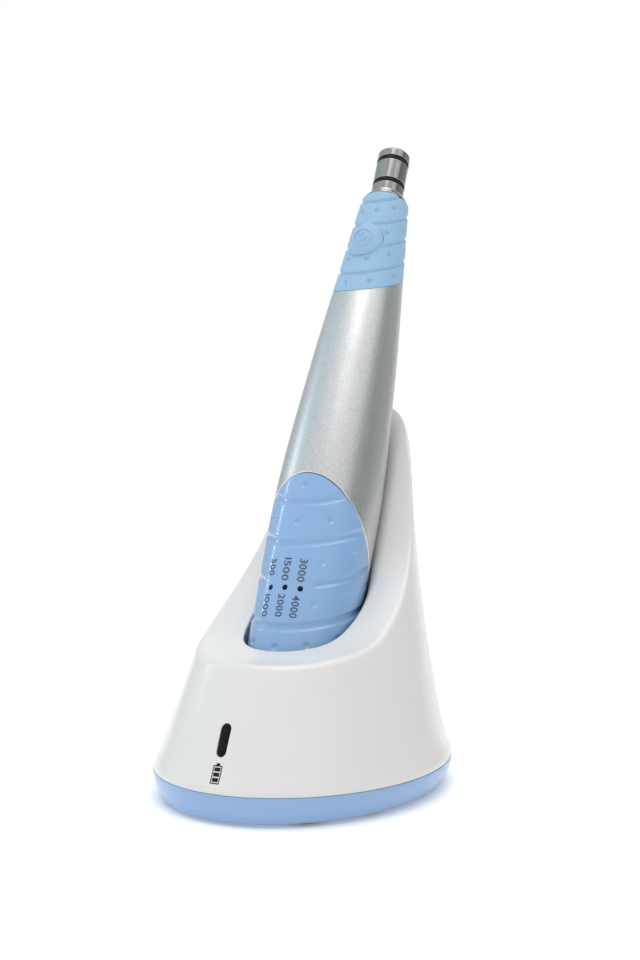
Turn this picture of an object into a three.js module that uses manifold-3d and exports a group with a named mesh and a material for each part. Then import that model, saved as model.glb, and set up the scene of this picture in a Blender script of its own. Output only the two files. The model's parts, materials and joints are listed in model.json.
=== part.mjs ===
// Cordless dental handpiece in its charging stand, built as separate pieces.
// Millimetres, +Z up. The stand's front faces -Y. The origin lies on the table, under the middle
// of the whole object's footprint.
import * as THREE from "three";
import { mergeVertices } from "three/addons/utils/BufferGeometryUtils.js";
import Module from "manifold-3d";

const wasm = await Module();
wasm.setup();

// ---------------------------------------------------------------- driving dimensions

// The handpiece leans back in the stand. Its own frame has +Z along its axis, from butt to nose.
const LEAN = THREE.MathUtils.degToRad(22.26);
const AXIS_FOOT_Y = -14.04; // where the handpiece's axis meets the table, from the base's middle
const FIT_GAP = 0.3; // between pieces that touch or are fastened together
const PRESS_GAP = 0.2; // between small pieces pressed into each other

// Handpiece, measured along its axis
const BUTT = 14;
const PLUG_TOP = 17;
const BARREL_TOP = 113;
const GRIP_TOP = 132.8;
const COLLAR_TOP = 133.3;
const NOSE_START = 134.7;
const NOSE_TIP = 146.2;
const NOSE_RADIUS = 3.65;
const NOSE_CHAMFER = 0.6;
const NOSE_BORE = 2.4;
const COLLAR_RADIUS = 4.85;
const STEM_RADIUS = 4.3;
const O_RINGS_AT = [137.34, 143.33];
const O_RING = { radius: 3.27, section: 0.4, grooveRadius: 2.83, halfGroove: 0.55 };
const GRIP_DEPTH = 1.4; // from the grips' outside down to the barrel's core
const CELL_BORE = 7.9;
const MOTOR_BORE = 6.8;
const STEM_BORE = STEM_RADIUS + FIT_GAP;
const CELL_BAY_TOP = 59.5;
const MOTOR_BAY_TOP = 103.2;

// Outside radius of barrel and grips at stations along the axis
const BODY_OUTLINE = [
  [0, 9.58], [30, 10.4], [60, 10.95], [90, 9.24], [115, 7.02], [130, 5.62], [134, 5.24],
];

// Slanted ends of the bare metal: height on the axis, and rise for each mm towards the back
const REAR_EDGE = { height: 50.3, rise: -1.119 };
const FRONT_EDGE = { height: 111.65, rise: 0.744 };

const BUTTON = { height: 119.4, length: 8.5, width: 8.1 };
const SPEED_WINDOWS = { height: 38.5, angles: [-18.8, 0, 17.2], radius: 0.52 };
const CONTACT_SPREAD = 3.2;

// Planetary gears between motor and spindle
const GEAR = { module: 0.3, sunTeeth: 12, planetTeeth: 12, ringTeeth: 36, bottom: 95.2, length: 3.6 };
const PLANET_COUNT = 3;
const ORBIT_RADIUS = (GEAR.module * (GEAR.sunTeeth + GEAR.planetTeeth)) / 2;

// Stand: upright elliptic sections, as height, half-width, front and back
const STAND_SECTIONS = [
  [5.5, 27.8, -34.95, 34.6],
  [6.6, 27.6, -34.5, 34.3],
  [9, 26.75, -33.4, 33.9],
  [14, 25.15, -31.3, 33.3],
  [22, 23.4, -27.6, 32.7],
  [35, 20.2, -21.8, 31.95],
  [50, 17.45, -16.4, 31.3],
  [65, 15.3, -11, 31.4],
  [82, 12.6, -4.8, 31.9],
];
// The rim that the walls are cut off at, as depth and height
const RIM_OUTLINE = [
  [-44, 26.6], [-28, 26.8], [-18, 27.5], [-5, 31.5], [10, 45.05], [22, 67.2], [33, 78.2], [44, 83],
];
const WALL = 2.2;
const WELL_RADIUS = 11.25;
const WELL_FLOOR = 13.4; // top of the well's floor, along the handpiece's axis
const FLOOR_THICKNESS = 1.6;
const SEAM = 5.5;
const BASE_UNDERSIDE = 0.9;
const BASE_RIM = { halfWidth: 27.95, halfDepth: 35.1 };
const BASE_FOOT = { halfWidth: 25.7, halfDepth: 34 };
const SCREWS_AT = [[-20, -14], [20, -14], [-20, 14], [20, 14]];
const SCREW = { headRadius: 2.2, shankRadius: 1.1, headBottom: 1.4, headTop: 2.9, tip: 11 };
const PILOT = { radius: 1.4, top: 11.4 }; // hole in the stand's boss that the screw bites into
const BOSS = { radius: 2.8, top: 13 };
const FEET_AT = [[-12, -23.5], [12, -23.5], [-12, 23.5], [12, 23.5]];
const FOOT = { radius: 4.1, height: 1.2 };
const JACK_HEIGHT = 12.6;
const JACK = { hole: 3.6, collar: 3.3, socket: 2.75, pin: 1 }; // radii
const STATUS_SLOT = { y: -31.25, z: 14.3, width: 2, length: 6 };

// The object is as deep as from the base's front to the nose's back corner
const NOSE_REACH =
  AXIS_FOOT_Y + (NOSE_TIP - NOSE_CHAMFER) * Math.sin(LEAN) + NOSE_RADIUS * Math.cos(LEAN);
const MIDDLE_OF_DEPTH = (NOSE_REACH - BASE_RIM.halfDepth) / 2;

const ROUND = 32; // facets round the large pieces
const SMALL_ROUND = 16; // facets round the small ones
const REACH = 200; // longer than anything here

// ---------------------------------------------------------------- solids

/** Welds a closed geometry, drops collapsed triangles and turns its faces outwards. */
function weld(geometry) {
  const bare = geometry.index ? geometry.toNonIndexed() : geometry.clone();
  bare.deleteAttribute("normal");
  bare.deleteAttribute("uv");
  const merged = mergeVertices(bare, 1e-4);
  const position = merged.attributes.position;
  const index = merged.index.array;
  const kept = [];
  let volume = 0;
  for (let i = 0; i < index.length; i += 3) {
    const [a, b, c] = [index[i], index[i + 1], index[i + 2]];
    if (a === b || b === c || c === a) continue;
    kept.push(a, b, c);
    const corner = (v) => new THREE.Vector3().fromBufferAttribute(position, v);
    volume += corner(a).dot(corner(b).cross(corner(c)));
  }
  if (volume < 0) {
    for (let i = 0; i < kept.length; i += 3) {
      [kept[i + 1], kept[i + 2]] = [kept[i + 2], kept[i + 1]];
    }
  }
  merged.setIndex(kept);
  return merged;
}

/** A geometry as a solid that can be joined and cut. */
function solid(geometry) {
  const closed = weld(geometry);
  return new wasm.Manifold(new wasm.Mesh({
    numProp: 3,
    vertProperties: new Float32Array(closed.attributes.position.array),
    triVerts: new Uint32Array(closed.index.array),
  }));
}

function cut(body, ...tools) {
  return tools.reduce((rest, tool) => rest.subtract(tool), body);
}

function join(body, ...others) {
  return others.reduce((sum, other) => sum.add(other), body);
}

function toGeometry(body) {
  const mesh = body.getMesh();
  const geometry = new THREE.BufferGeometry();
  geometry.setAttribute("position", new THREE.BufferAttribute(mesh.vertProperties.slice(), 3));
  geometry.setIndex(new THREE.BufferAttribute(mesh.triVerts.slice(), 1));
  return geometry;
}

/** A turned piece: [radius, height] points from axis to axis, or a closed loop. */
function turned(points, facets = ROUND) {
  const profile = points.map(([radius, height]) => new THREE.Vector2(radius, height));
  return solid(new THREE.LatheGeometry(profile, facets).rotateX(Math.PI / 2));
}

function rod(radius, bottom, top, facets = SMALL_ROUND) {
  return turned([[0, bottom], [radius, bottom], [radius, top], [0, top]], facets);
}

function tube(outer, inner, bottom, top, facets = SMALL_ROUND) {
  return turned([[inner, bottom], [outer, bottom], [outer, top], [inner, top], [inner, bottom]], facets);
}

/** A box from its lowest to its highest corner. */
function block(low, high) {
  const size = high.map((value, i) => value - low[i]);
  const middle = high.map((value, i) => (value + low[i]) / 2);
  return solid(new THREE.BoxGeometry(...size).translate(...middle));
}

/** Everything on the side of a plane that its normal points to. */
function halfSpace(point, normal) {
  const turn = new THREE.Quaternion().setFromUnitVectors(
    new THREE.Vector3(0, 0, 1), new THREE.Vector3(...normal).normalize());
  const box = new THREE.BoxGeometry(REACH, REACH, REACH).translate(0, 0, REACH / 2);
  return solid(box.applyQuaternion(turn).translate(...point));
}

/** Skins a stack of rings, each with the same number of points, and caps both ends. */
function loft(rings) {
  const count = rings[0].length;
  const last = rings.length - 1;
  const vertices = rings.flat().flatMap((p) => [p.x, p.y, p.z]);
  const index = [];
  for (let r = 0; r < last; r += 1) {
    for (let i = 0; i < count; i += 1) {
      const next = (i + 1) % count;
      const [a, b] = [r * count + i, r * count + next];
      index.push(a, b, b + count, a, b + count, a + count);
    }
  }
  for (let i = 1; i < count - 1; i += 1) {
    index.push(0, i + 1, i, last * count, last * count + i, last * count + i + 1);
  }
  const geometry = new THREE.BufferGeometry();
  geometry.setAttribute("position", new THREE.Float32BufferAttribute(vertices, 3));
  geometry.setIndex(index);
  return solid(geometry);
}

function ellipseRing(height, halfWidth, front, back, facets = ROUND) {
  const middle = (front + back) / 2;
  const curve = new THREE.EllipseCurve(0, middle, halfWidth, (back - front) / 2);
  return curve.getPoints(facets).slice(0, -1).map((p) => new THREE.Vector3(p.x, p.y, height));
}

/** A smooth function through [x, y] knots. */
function smoothThrough(knots) {
  const slopes = knots.map((_, i) => {
    const before = knots[Math.max(i - 1, 0)];
    const after = knots[Math.min(i + 1, knots.length - 1)];
    return (after[1] - before[1]) / (after[0] - before[0]);
  });
  return (x) => {
    const i = Math.max(0, Math.min(knots.length - 2, knots.findIndex((k) => k[0] >= x) - 1));
    const [[x0, y0], [x1, y1]] = [knots[i], knots[i + 1]];
    const step = x1 - x0;
    const t = (x - x0) / step;
    const bend = (1 - t) * slopes[i] * step - t * slopes[i + 1] * step;
    const chord = y0 + (y1 - y0) * t;
    return chord + t * (1 - t) * (bend - (1 - 2 * t) * (y1 - y0));
  };
}

const bodyRadius = smoothThrough(BODY_OUTLINE);

/** [radius, height] points along the handpiece's outside, sunk by an inset. */
function bodyWall(bottom, top, inset = 0, steps = 8) {
  return Array.from({ length: steps + 1 }, (_, i) => {
    const height = bottom + ((top - bottom) * i) / steps;
    return [bodyRadius(height) - inset, height];
  });
}

/** The handpiece's outside between two heights, as a solid filled to the axis. */
function bodySolid(bottom, top, inset = 0, steps = 8) {
  return turned([[0, bottom], ...bodyWall(bottom, top, inset, steps), [0, top]]);
}

/** The half space above one of the slanted edges, shifted along its normal. */
function aboveEdge(edge, shift = 0) {
  const normal = new THREE.Vector3(0, -edge.rise, 1).normalize();
  return halfSpace([0, normal.y * shift, edge.height + normal.z * shift], normal.toArray());
}

// ---------------------------------------------------------------- scene graph

const object = new THREE.Group();
const stand = new THREE.Group();
stand.position.y = -MIDDLE_OF_DEPTH;
object.add(stand);
const handpiece = new THREE.Group();
handpiece.position.y = AXIS_FOOT_Y;
handpiece.rotation.x = -LEAN;
stand.add(handpiece);

const FINISH = {
  whitePlastic: [0xeceef0, 0.25, 0],
  bluePlastic: [0x8fb4e0, 0.35, 0],
  blueSilicone: [0xa6cbea, 0.6, 0],
  satinMetal: [0xb9bcc0, 0.35, 1],
  steel: [0x9a9a9c, 0.25, 1],
  brass: [0xc9a45a, 0.3, 1],
  gold: [0xd8b65c, 0.3, 1],
  blackRubber: [0x151515, 0.7, 0],
  blackPlastic: [0x1c1d20, 0.4, 0],
  greyPlastic: [0x6a6d72, 0.5, 0],
  boardGreen: [0x1f6b3a, 0.5, 0],
  cellWrap: [0x2b5a9c, 0.4, 0],
  darkLens: [0x0c0d10, 0.1, 0],
  amber: [0xf0b050, 0.3, 0],
  magnet: [0x3a3a3e, 0.6, 0.4],
};

/** Adds one named piece to a group, with a material of its own. */
function piece(group, name, body, finish) {
  const [color, roughness, metalness] = FINISH[finish];
  const material = new THREE.MeshStandardMaterial({ color, roughness, metalness });
  const mesh = new THREE.Mesh(toGeometry(body), material);
  mesh.name = name;
  group.add(mesh);
}

// ---------------------------------------------------------------- stand

/** Moves a solid from the handpiece's frame to the stand's. */
function inStand(body) {
  return body.rotate([-THREE.MathUtils.radToDeg(LEAN), 0, 0]).translate([0, AXIS_FOOT_Y, 0]);
}

/** The stand's outside or, with an inset, its hollow, before the rim is cut. */
function standSolid(inset, bottom) {
  const rings = STAND_SECTIONS.map(([height, halfWidth, front, back], i) =>
    ellipseRing(i === 0 ? bottom : height, halfWidth - inset, front + inset, back - inset));
  return loft(rings);
}

/** Everything above the rim, or above a copy of it that is lowered. */
function aboveRim(drop = 0) {
  const rim = new THREE.SplineCurve(RIM_OUTLINE.map(([y, z]) => new THREE.Vector2(y, z - drop)));
  const outline = new THREE.Shape(rim.getPoints(20));
  outline.lineTo(RIM_OUTLINE.at(-1)[0], REACH);
  outline.lineTo(RIM_OUTLINE[0][0], REACH);
  const slab = new THREE.ExtrudeGeometry(outline, { depth: REACH, bevelEnabled: false });
  slab.translate(0, 0, -REACH / 2);
  const axes = new THREE.Matrix4().makeBasis(
    new THREE.Vector3(0, 1, 0), new THREE.Vector3(0, 0, 1), new THREE.Vector3(1, 0, 0));
  return solid(slab.applyMatrix4(axes));
}

/** A slot with round ends, standing on the wall's slope and running through it. */
function statusPill(width, length, outside, inside) {
  const radius = width / 2;
  const straight = (length - width) / 2;
  const outline = new THREE.Shape();
  outline.absarc(0, straight, radius, 0, Math.PI);
  outline.absarc(0, -straight, radius, Math.PI, 2 * Math.PI);
  const plug = new THREE.ExtrudeGeometry(outline, {
    depth: outside + inside, bevelEnabled: false, curveSegments: 8,
  });
  return solid(plug.translate(0, 0, -inside));
}

const statusFrame = new THREE.Group();
statusFrame.position.set(0, STATUS_SLOT.y, STATUS_SLOT.z);
const statusTilt = THREE.MathUtils.degToRad(69.4); // from upright to the wall's outward normal
statusFrame.rotation.x = statusTilt;
stand.add(statusFrame);

/** Moves a solid from the status window's frame to the stand's. */
function fromStatusFrame(body) {
  const degrees = THREE.MathUtils.radToDeg(statusTilt);
  return body.rotate([degrees, 0, 0]).translate([0, STATUS_SLOT.y, STATUS_SLOT.z]);
}

function atEach(places, body) {
  return places.map(([x, y]) => body.translate([x, y, 0]));
}

function addStandShell() {
  const outside = standSolid(0, SEAM).subtract(aboveRim());
  const wellWall = inStand(rod(WELL_RADIUS + 1.5, WELL_FLOOR - FLOOR_THICKNESS, REACH / 2, ROUND));
  const bosses = atEach(SCREWS_AT, rod(BOSS.radius, SEAM, BOSS.top, 12));
  const hollow = standSolid(WALL, SEAM - 5).subtract(aboveRim(3.5));
  const cavity = cut(hollow, wellWall, ...bosses);
  const well = inStand(rod(WELL_RADIUS, WELL_FLOOR, REACH, ROUND));
  const pinHoles = [-1, 1].map((side) =>
    inStand(rod(1, WELL_FLOOR - 4, WELL_FLOOR + 4, 12).translate([side * CONTACT_SPREAD, 0, 0])));
  const pilots = atEach(SCREWS_AT, rod(PILOT.radius, SEAM - 1, PILOT.top, 10));
  const { width, length } = STATUS_SLOT;
  const slot = fromStatusFrame(statusPill(width + 0.4, length + 0.4, 3, 4));
  const jackHole = rod(JACK.hole, 0, 12, 24).rotate([-90, 0, 0]).translate([0, 27, JACK_HEIGHT]);
  const shell = cut(outside, cavity, well, ...pinHoles, ...pilots, slot, jackHole);
  piece(stand, "stand_shell", shell, "whitePlastic");
}

function addStandBase() {
  const wallTop = SEAM - FIT_GAP;
  const floorTop = 2.7;
  const ring = (height, inset) => {
    const rise = (height - BASE_UNDERSIDE) / (SEAM - BASE_UNDERSIDE);
    const swell = Math.sin((Math.PI / 2) * rise);
    const halfWidth = BASE_FOOT.halfWidth + (BASE_RIM.halfWidth - BASE_FOOT.halfWidth) * swell;
    const halfDepth = BASE_FOOT.halfDepth + (BASE_RIM.halfDepth - BASE_FOOT.halfDepth) * swell;
    return ellipseRing(height, halfWidth - inset, inset - halfDepth, halfDepth - inset);
  };
  const tray = loft([BASE_UNDERSIDE, 1.6, 2.6, 3.9, wallTop].map((height) => ring(height, 0)));
  const hollow = loft([floorTop, wallTop + 0.2].map((height) => ring(height, WALL)));
  const pillars = atEach(SCREWS_AT, rod(3.4, floorTop - 0.5, wallTop, 12));
  const screwHoles = atEach(SCREWS_AT, rod(PILOT.radius, 0, 10, 10));
  const headWells = atEach(SCREWS_AT, rod(SCREW.headRadius + 0.4, 0, SCREW.headTop + FIT_GAP, 12));
  const footWells = atEach(FEET_AT, rod(FOOT.radius + FIT_GAP, 0, FOOT.height + FIT_GAP, 16));
  const walls = join(tray.subtract(hollow), ...pillars);
  const base = cut(walls, ...screwHoles, ...headWells, ...footWells);
  piece(stand, "stand_base", base, "bluePlastic");
}

function addBaseFastenersAndFeet() {
  const { headRadius, shankRadius, headBottom, headTop, tip } = SCREW;
  const blank = turned([
    [0, headBottom], [headRadius, headBottom], [headRadius, headTop], [shankRadius, headTop],
    [shankRadius, tip - 0.4], [0, tip],
  ], 12);
  const blade = block([-1.5, -0.35, 0], [1.5, 0.35, headBottom + 0.7]);
  const screw = cut(blank, blade, blade.rotate([0, 0, 90]));
  atEach(SCREWS_AT, screw).forEach((body, i) => piece(stand, `base_screw_${i + 1}`, body, "steel"));
  const { radius, height } = FOOT;
  const foot = turned([[0, 0], [radius - 0.4, 0], [radius, 0.4], [radius, height], [0, height]], 16);
  atEach(FEET_AT, foot).forEach((body, i) => {
    piece(stand, `rubber_foot_${i + 1}`, body, "blackRubber");
  });
}

function addBallastPlate() {
  const plate = loft([3, 4.6].map((height) => ellipseRing(height, 24, -30.5, 30.5, 24)));
  piece(stand, "ballast_plate", cut(plate, ...atEach(SCREWS_AT, rod(3.8, 0, 10, 10))), "steel");
}

function addChargeElectronics() {
  piece(stand, "charge_board", block([-11, 7, 7.2], [11, 27.5, 8.2]), "boardGreen");
  const jackBody = block([-4.6, 17.5, 8.5], [4.6, 29.4, 16.7]);
  const collar = rod(JACK.collar, 0, 4.2, 24).rotate([-90, 0, 0]).translate([0, 29, JACK_HEIGHT]);
  const socket = tube(JACK.socket, JACK.pin, 0, 10, 24).rotate([-90, 0, 0]).translate([0, 24.2, JACK_HEIGHT]);
  piece(stand, "dc_jack", join(jackBody, collar).subtract(socket), "blackPlastic");
  piece(statusFrame, "status_lens", statusPill(STATUS_SLOT.width, STATUS_SLOT.length, 0, 2), "darkLens");
  piece(statusFrame, "status_board", block([-4, -4.5, -4.9], [4, 4.5, -4.1]), "boardGreen");
  piece(statusFrame, "status_led", block([-1.2, -1.6, -3.8], [1.2, 1.6, -2.7]), "amber");
}

function addChargeContacts() {
  const top = WELL_FLOOR - FLOOR_THICKNESS - FIT_GAP;
  const sides = [["left", -CONTACT_SPREAD], ["right", CONTACT_SPREAD]];
  const holder = block([-5.6, -2.5, 7], [5.6, 2.5, top]);
  const bores = sides.map(([, x]) => rod(1.6, 0, REACH, 16).translate([x, 0, 0]));
  piece(handpiece, "contact_block", cut(holder, ...bores), "blackPlastic");
  const sleeve = rod(1.3, 6.6, top, 16).subtract(rod(0.95, 7.2, REACH, 16));
  const plunger = turned([
    [0, 8.6], [0.8, 8.6], [0.8, 9.8], [0.6, 9.8], [0.6, 13.4], [0.35, BUTT - 0.15], [0, BUTT - 0.15],
  ], 16);
  sides.forEach(([side, x]) => {
    piece(handpiece, `contact_sleeve_${side}`, sleeve.translate([x, 0, 0]), "brass");
    piece(handpiece, `contact_pin_${side}`, plunger.translate([x, 0, 0]), "gold");
  });
}

// ---------------------------------------------------------------- handpiece: covers and grips

/** Round holes from outside to the circuit board behind the speed windows. */
function windowHoles(radius) {
  return SPEED_WINDOWS.angles.map((angle) =>
    rod(radius, 0, 14, 12).rotate([90, 0, angle]).translate([0, 0, SPEED_WINDOWS.height]));
}

function addBarrel() {
  const core = bodySolid(PLUG_TOP + FIT_GAP, BARREL_TOP, GRIP_DEPTH);
  const band = bodySolid(36, 119, 0, 9)
    .intersect(aboveEdge(REAR_EDGE))
    .subtract(aboveEdge(FRONT_EDGE));
  const bore = turned([
    [0, 0], [CELL_BORE, 0], [CELL_BORE, CELL_BAY_TOP], [MOTOR_BORE, CELL_BAY_TOP + 1],
    [MOTOR_BORE, MOTOR_BAY_TOP], [STEM_BORE, MOTOR_BAY_TOP], [STEM_BORE, REACH], [0, REACH],
  ]);
  const barrel = cut(join(core, band), bore, ...windowHoles(SPEED_WINDOWS.radius + 0.25));
  piece(handpiece, "barrel", barrel, "satinMetal");
}

function addRearGrip() {
  const skin = bodySolid(PLUG_TOP + FIT_GAP, 66, 0, 6).subtract(bodySolid(0, 70, GRIP_DEPTH - FIT_GAP));
  const grip = cut(skin, aboveEdge(REAR_EDGE, -FIT_GAP), ...windowHoles(SPEED_WINDOWS.radius + 0.1));
  piece(handpiece, "rear_grip", grip, "bluePlastic");
}

/** The button's outline as an upright oval post, from the axis outwards to the front. */
function buttonPost(clearance, depth) {
  const outline = new THREE.Shape();
  outline.absellipse(0, 0, BUTTON.width / 2 + clearance, BUTTON.length / 2 + clearance, 0, 2 * Math.PI);
  const post = new THREE.ExtrudeGeometry(outline, { depth, bevelEnabled: false, curveSegments: 10 });
  return solid(post.rotateX(Math.PI / 2)).translate([0, 0, BUTTON.height]);
}

function addFrontGrip() {
  const inner = turned([
    [0, 90], ...bodyWall(90, BARREL_TOP + FIT_GAP, GRIP_DEPTH - FIT_GAP, 4),
    [STEM_BORE, BARREL_TOP + FIT_GAP], [STEM_BORE, REACH], [0, REACH],
  ]);
  const skin = bodySolid(102, GRIP_TOP, 0, 6).subtract(inner);
  const grip = skin.intersect(aboveEdge(FRONT_EDGE, FIT_GAP)).subtract(buttonPost(0.15, 14));
  piece(handpiece, "front_grip", grip, "blueSilicone");
}

function addEndPlug() {
  const side = bodyRadius(PLUG_TOP);
  const plug = turned([
    [0, BUTT], [side - 1.6, BUTT], [side - 0.6, BUTT + 0.5], [side - 0.1, BUTT + 1.5], [side, PLUG_TOP],
    [CELL_BORE - FIT_GAP, PLUG_TOP], [CELL_BORE - FIT_GAP, 20.4], [0, 20.4],
  ]);
  const padWell = rod(2, 0, BUTT + 1.1);
  const padWells = [-1, 1].map((way) => padWell.translate([way * CONTACT_SPREAD, 0, 0]));
  piece(handpiece, "end_plug", cut(plug, ...padWells), "bluePlastic");
  const pad = rod(1.8, BUTT, BUTT + 0.8);
  piece(handpiece, "charge_pad_left", pad.translate([-CONTACT_SPREAD, 0, 0]), "gold");
  piece(handpiece, "charge_pad_right", pad.translate([CONTACT_SPREAD, 0, 0]), "gold");
}

// ---------------------------------------------------------------- handpiece: nose

const FRONT_BEARING = [125.8, 128.8];
const REAR_BEARING = [103.8, 106.6];
const SPINDLE_RADIUS = 1.15;
const SHAFT_HOLE = 1.6; // radius of the passage for the spindle
const STEM_END = 107; // lower end of the nose's stem

function addNose() {
  const { radius, section, grooveRadius, halfGroove } = O_RING;
  const grooves = O_RINGS_AT.flatMap((middle) => [
    [NOSE_RADIUS, middle - halfGroove], [grooveRadius, middle - halfGroove],
    [grooveRadius, middle + halfGroove], [NOSE_RADIUS, middle + halfGroove],
  ]);
  const boreEnd = FRONT_BEARING[0] - FIT_GAP;
  const spigot = turned([
    [SHAFT_HOLE, STEM_END], [STEM_RADIUS, STEM_END], [STEM_RADIUS, GRIP_TOP + PRESS_GAP],
    [COLLAR_RADIUS, GRIP_TOP + PRESS_GAP], [COLLAR_RADIUS, COLLAR_TOP], [NOSE_RADIUS, NOSE_START],
    ...grooves, [NOSE_RADIUS, NOSE_TIP - NOSE_CHAMFER], [NOSE_RADIUS - NOSE_CHAMFER, NOSE_TIP],
    [NOSE_BORE, NOSE_TIP], [NOSE_BORE, boreEnd], [SHAFT_HOLE, boreEnd], [SHAFT_HOLE, STEM_END],
  ], 24);
  const switchFlat = block([-10, -10, 113.4], [10, -3.9, 124.6]);
  piece(handpiece, "nose_spigot", spigot.subtract(switchFlat), "steel");
  O_RINGS_AT.forEach((middle, i) => {
    const circle = new THREE.EllipseCurve(radius, middle, section, section).getPoints(6);
    const ring = turned(circle.map((p) => [p.x, p.y]), 20);
    piece(handpiece, i === 0 ? "o_ring_rear" : "o_ring_front", ring, "blackRubber");
  });
}

/** A ball bearing as bought: one ring, with the gap between its races as a groove each side. */
function bearing(outer, inner, [bottom, top]) {
  const middle = (outer + inner) / 2;
  const [near, far] = [middle - 0.25, middle + 0.25];
  const groove = (end, depth) => [[near, end], [near, depth], [far, depth], [far, end]];
  return turned([
    [inner, bottom], ...groove(bottom, bottom + 0.4), [outer, bottom], [outer, top],
    ...groove(top, top - 0.4).reverse(), [inner, top], [inner, bottom],
  ], 16);
}

function addBearings() {
  const bore = SPINDLE_RADIUS + PRESS_GAP;
  const frontRadius = NOSE_BORE - PRESS_GAP;
  piece(handpiece, "spindle_bearing_front", bearing(frontRadius, bore, FRONT_BEARING), "steel");
  piece(handpiece, "spindle_bearing_rear", bearing(STEM_RADIUS, bore, REAR_BEARING), "steel");
  piece(handpiece, "spindle_seal", tube(frontRadius, SPINDLE_RADIUS + 0.15, 129.2, 130.8), "blackRubber");
}

// ---------------------------------------------------------------- handpiece: button

function addButton() {
  const crown = new THREE.SphereGeometry(1, 24, 12).scale(5.5, 4.95, 8.4);
  crown.rotateX(THREE.MathUtils.degToRad(5.3)).translate(0, -2.95, BUTTON.height);
  const skirtEnd = block([-10, -5.3, 100], [10, 5, 140]);
  const cap = buttonPost(0, 14).intersect(solid(crown)).subtract(skirtEnd);
  const pocket = block([-3.2, -6.3, BUTTON.height - 3.4], [3.2, 0, BUTTON.height + 3.4]);
  const stud = rod(0.9, 5.9, 6.5, 16).rotate([90, 0, 0]).translate([0, 0, BUTTON.height]);
  piece(handpiece, "power_button", join(cap.subtract(pocket), stud), "blueSilicone");
  const middle = BUTTON.height;
  const board = block([-2.2, -4.6, middle - 3.6], [2.2, -4.2, middle + 3.6]);
  piece(handpiece, "switch_board", board, "boardGreen");
  const contact = block([-1.6, -5.3, middle - 1.6], [1.6, -4.75, middle + 1.6]);
  piece(handpiece, "button_switch", contact, "steel");
}

// ---------------------------------------------------------------- handpiece: power and drive

function addPower() {
  const cell = turned([
    [0, 20.8], [6.4, 20.8], [6.6, 21.2], [6.6, 57.4], [6.2, 57.8], [2, 57.8], [2, 58.8], [0, 58.8],
  ], 20);
  piece(handpiece, "battery_cell", cell.translate([0, 0.9, 0]), "cellWrap");
  piece(handpiece, "control_board", block([-3.7, -6.8, 21], [3.7, -6, 58.8]), "boardGreen");
  const height = SPEED_WINDOWS.height;
  const names = ["low", "mid", "high"];
  const lens = rod(SPEED_WINDOWS.radius, 7.4, bodyRadius(height) - 0.02, 12).rotate([90, 0, 0]);
  SPEED_WINDOWS.angles.forEach((angle, i) => {
    const body = lens.rotate([0, 0, angle]).translate([0, 0, height]);
    piece(handpiece, `speed_window_${names[i]}`, body, "darkLens");
  });
}

const CAN = { radius: 6.4, wall: 0.6, bottom: 62, top: 92 };

function addMotor() {
  const { radius, wall, bottom, top } = CAN;
  const can = turned([
    [radius - wall, bottom], [radius, bottom], [radius, top - 0.5], [radius - 0.5, top], [1.1, top],
    [1.1, top - wall], [radius - wall, top - wall], [radius - wall, bottom],
  ], 20);
  piece(handpiece, "motor_can", can, "steel");
  piece(handpiece, "motor_end_cap", tube(radius, 0.8, bottom - 2, bottom - 0.3, 20), "blackPlastic");
  piece(handpiece, "motor_magnet", tube(5.5, 4.9, 66, 87, 20), "magnet");
  const rotor = turned([
    [0, 60.4], [0.5, 60.4], [0.5, 65.6], [4.5, 66], [4.5, 86.6], [0.5, 87], [0.5, 99], [0, 99],
  ], 16);
  piece(handpiece, "motor_rotor", rotor, "brass");
}

/** Outline of a spur gear. A ring's teeth point inwards, and one tooth is always on +X at phase 0. */
function gearOutline(path, teeth, phase, { tipOffset, rootOffset, tipShare, rootShare }) {
  const pitch = (2 * Math.PI) / teeth;
  const radius = (GEAR.module * teeth) / 2;
  const corners = [
    [-rootShare, rootOffset], [-tipShare, tipOffset], [tipShare, tipOffset], [rootShare, rootOffset],
  ];
  for (let tooth = 0; tooth < teeth; tooth += 1) {
    corners.forEach(([share, offset], i) => {
      const angle = phase + (tooth + share) * pitch;
      const [x, y] = [(radius + offset) * Math.cos(angle), (radius + offset) * Math.sin(angle)];
      if (tooth === 0 && i === 0) path.moveTo(x, y);
      else path.lineTo(x, y);
    });
  }
  path.closePath();
  return path;
}

const OUTER_TOOTH = { tipOffset: 0.24, rootOffset: -0.36, tipShare: 0.1, rootShare: 0.29 };
const RING_TOOTH = { tipOffset: -0.22, rootOffset: 0.34, tipShare: 0.1, rootShare: 0.28 };

function spurGear(teeth, phase, bore) {
  const outline = gearOutline(new THREE.Shape(), teeth, phase, OUTER_TOOTH);
  outline.holes.push(new THREE.Path().absarc(0, 0, bore, 0, 2 * Math.PI));
  const gear = new THREE.ExtrudeGeometry(outline, {
    depth: GEAR.length, bevelEnabled: false, curveSegments: 6,
  });
  return solid(gear.translate(0, 0, GEAR.bottom));
}

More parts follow.
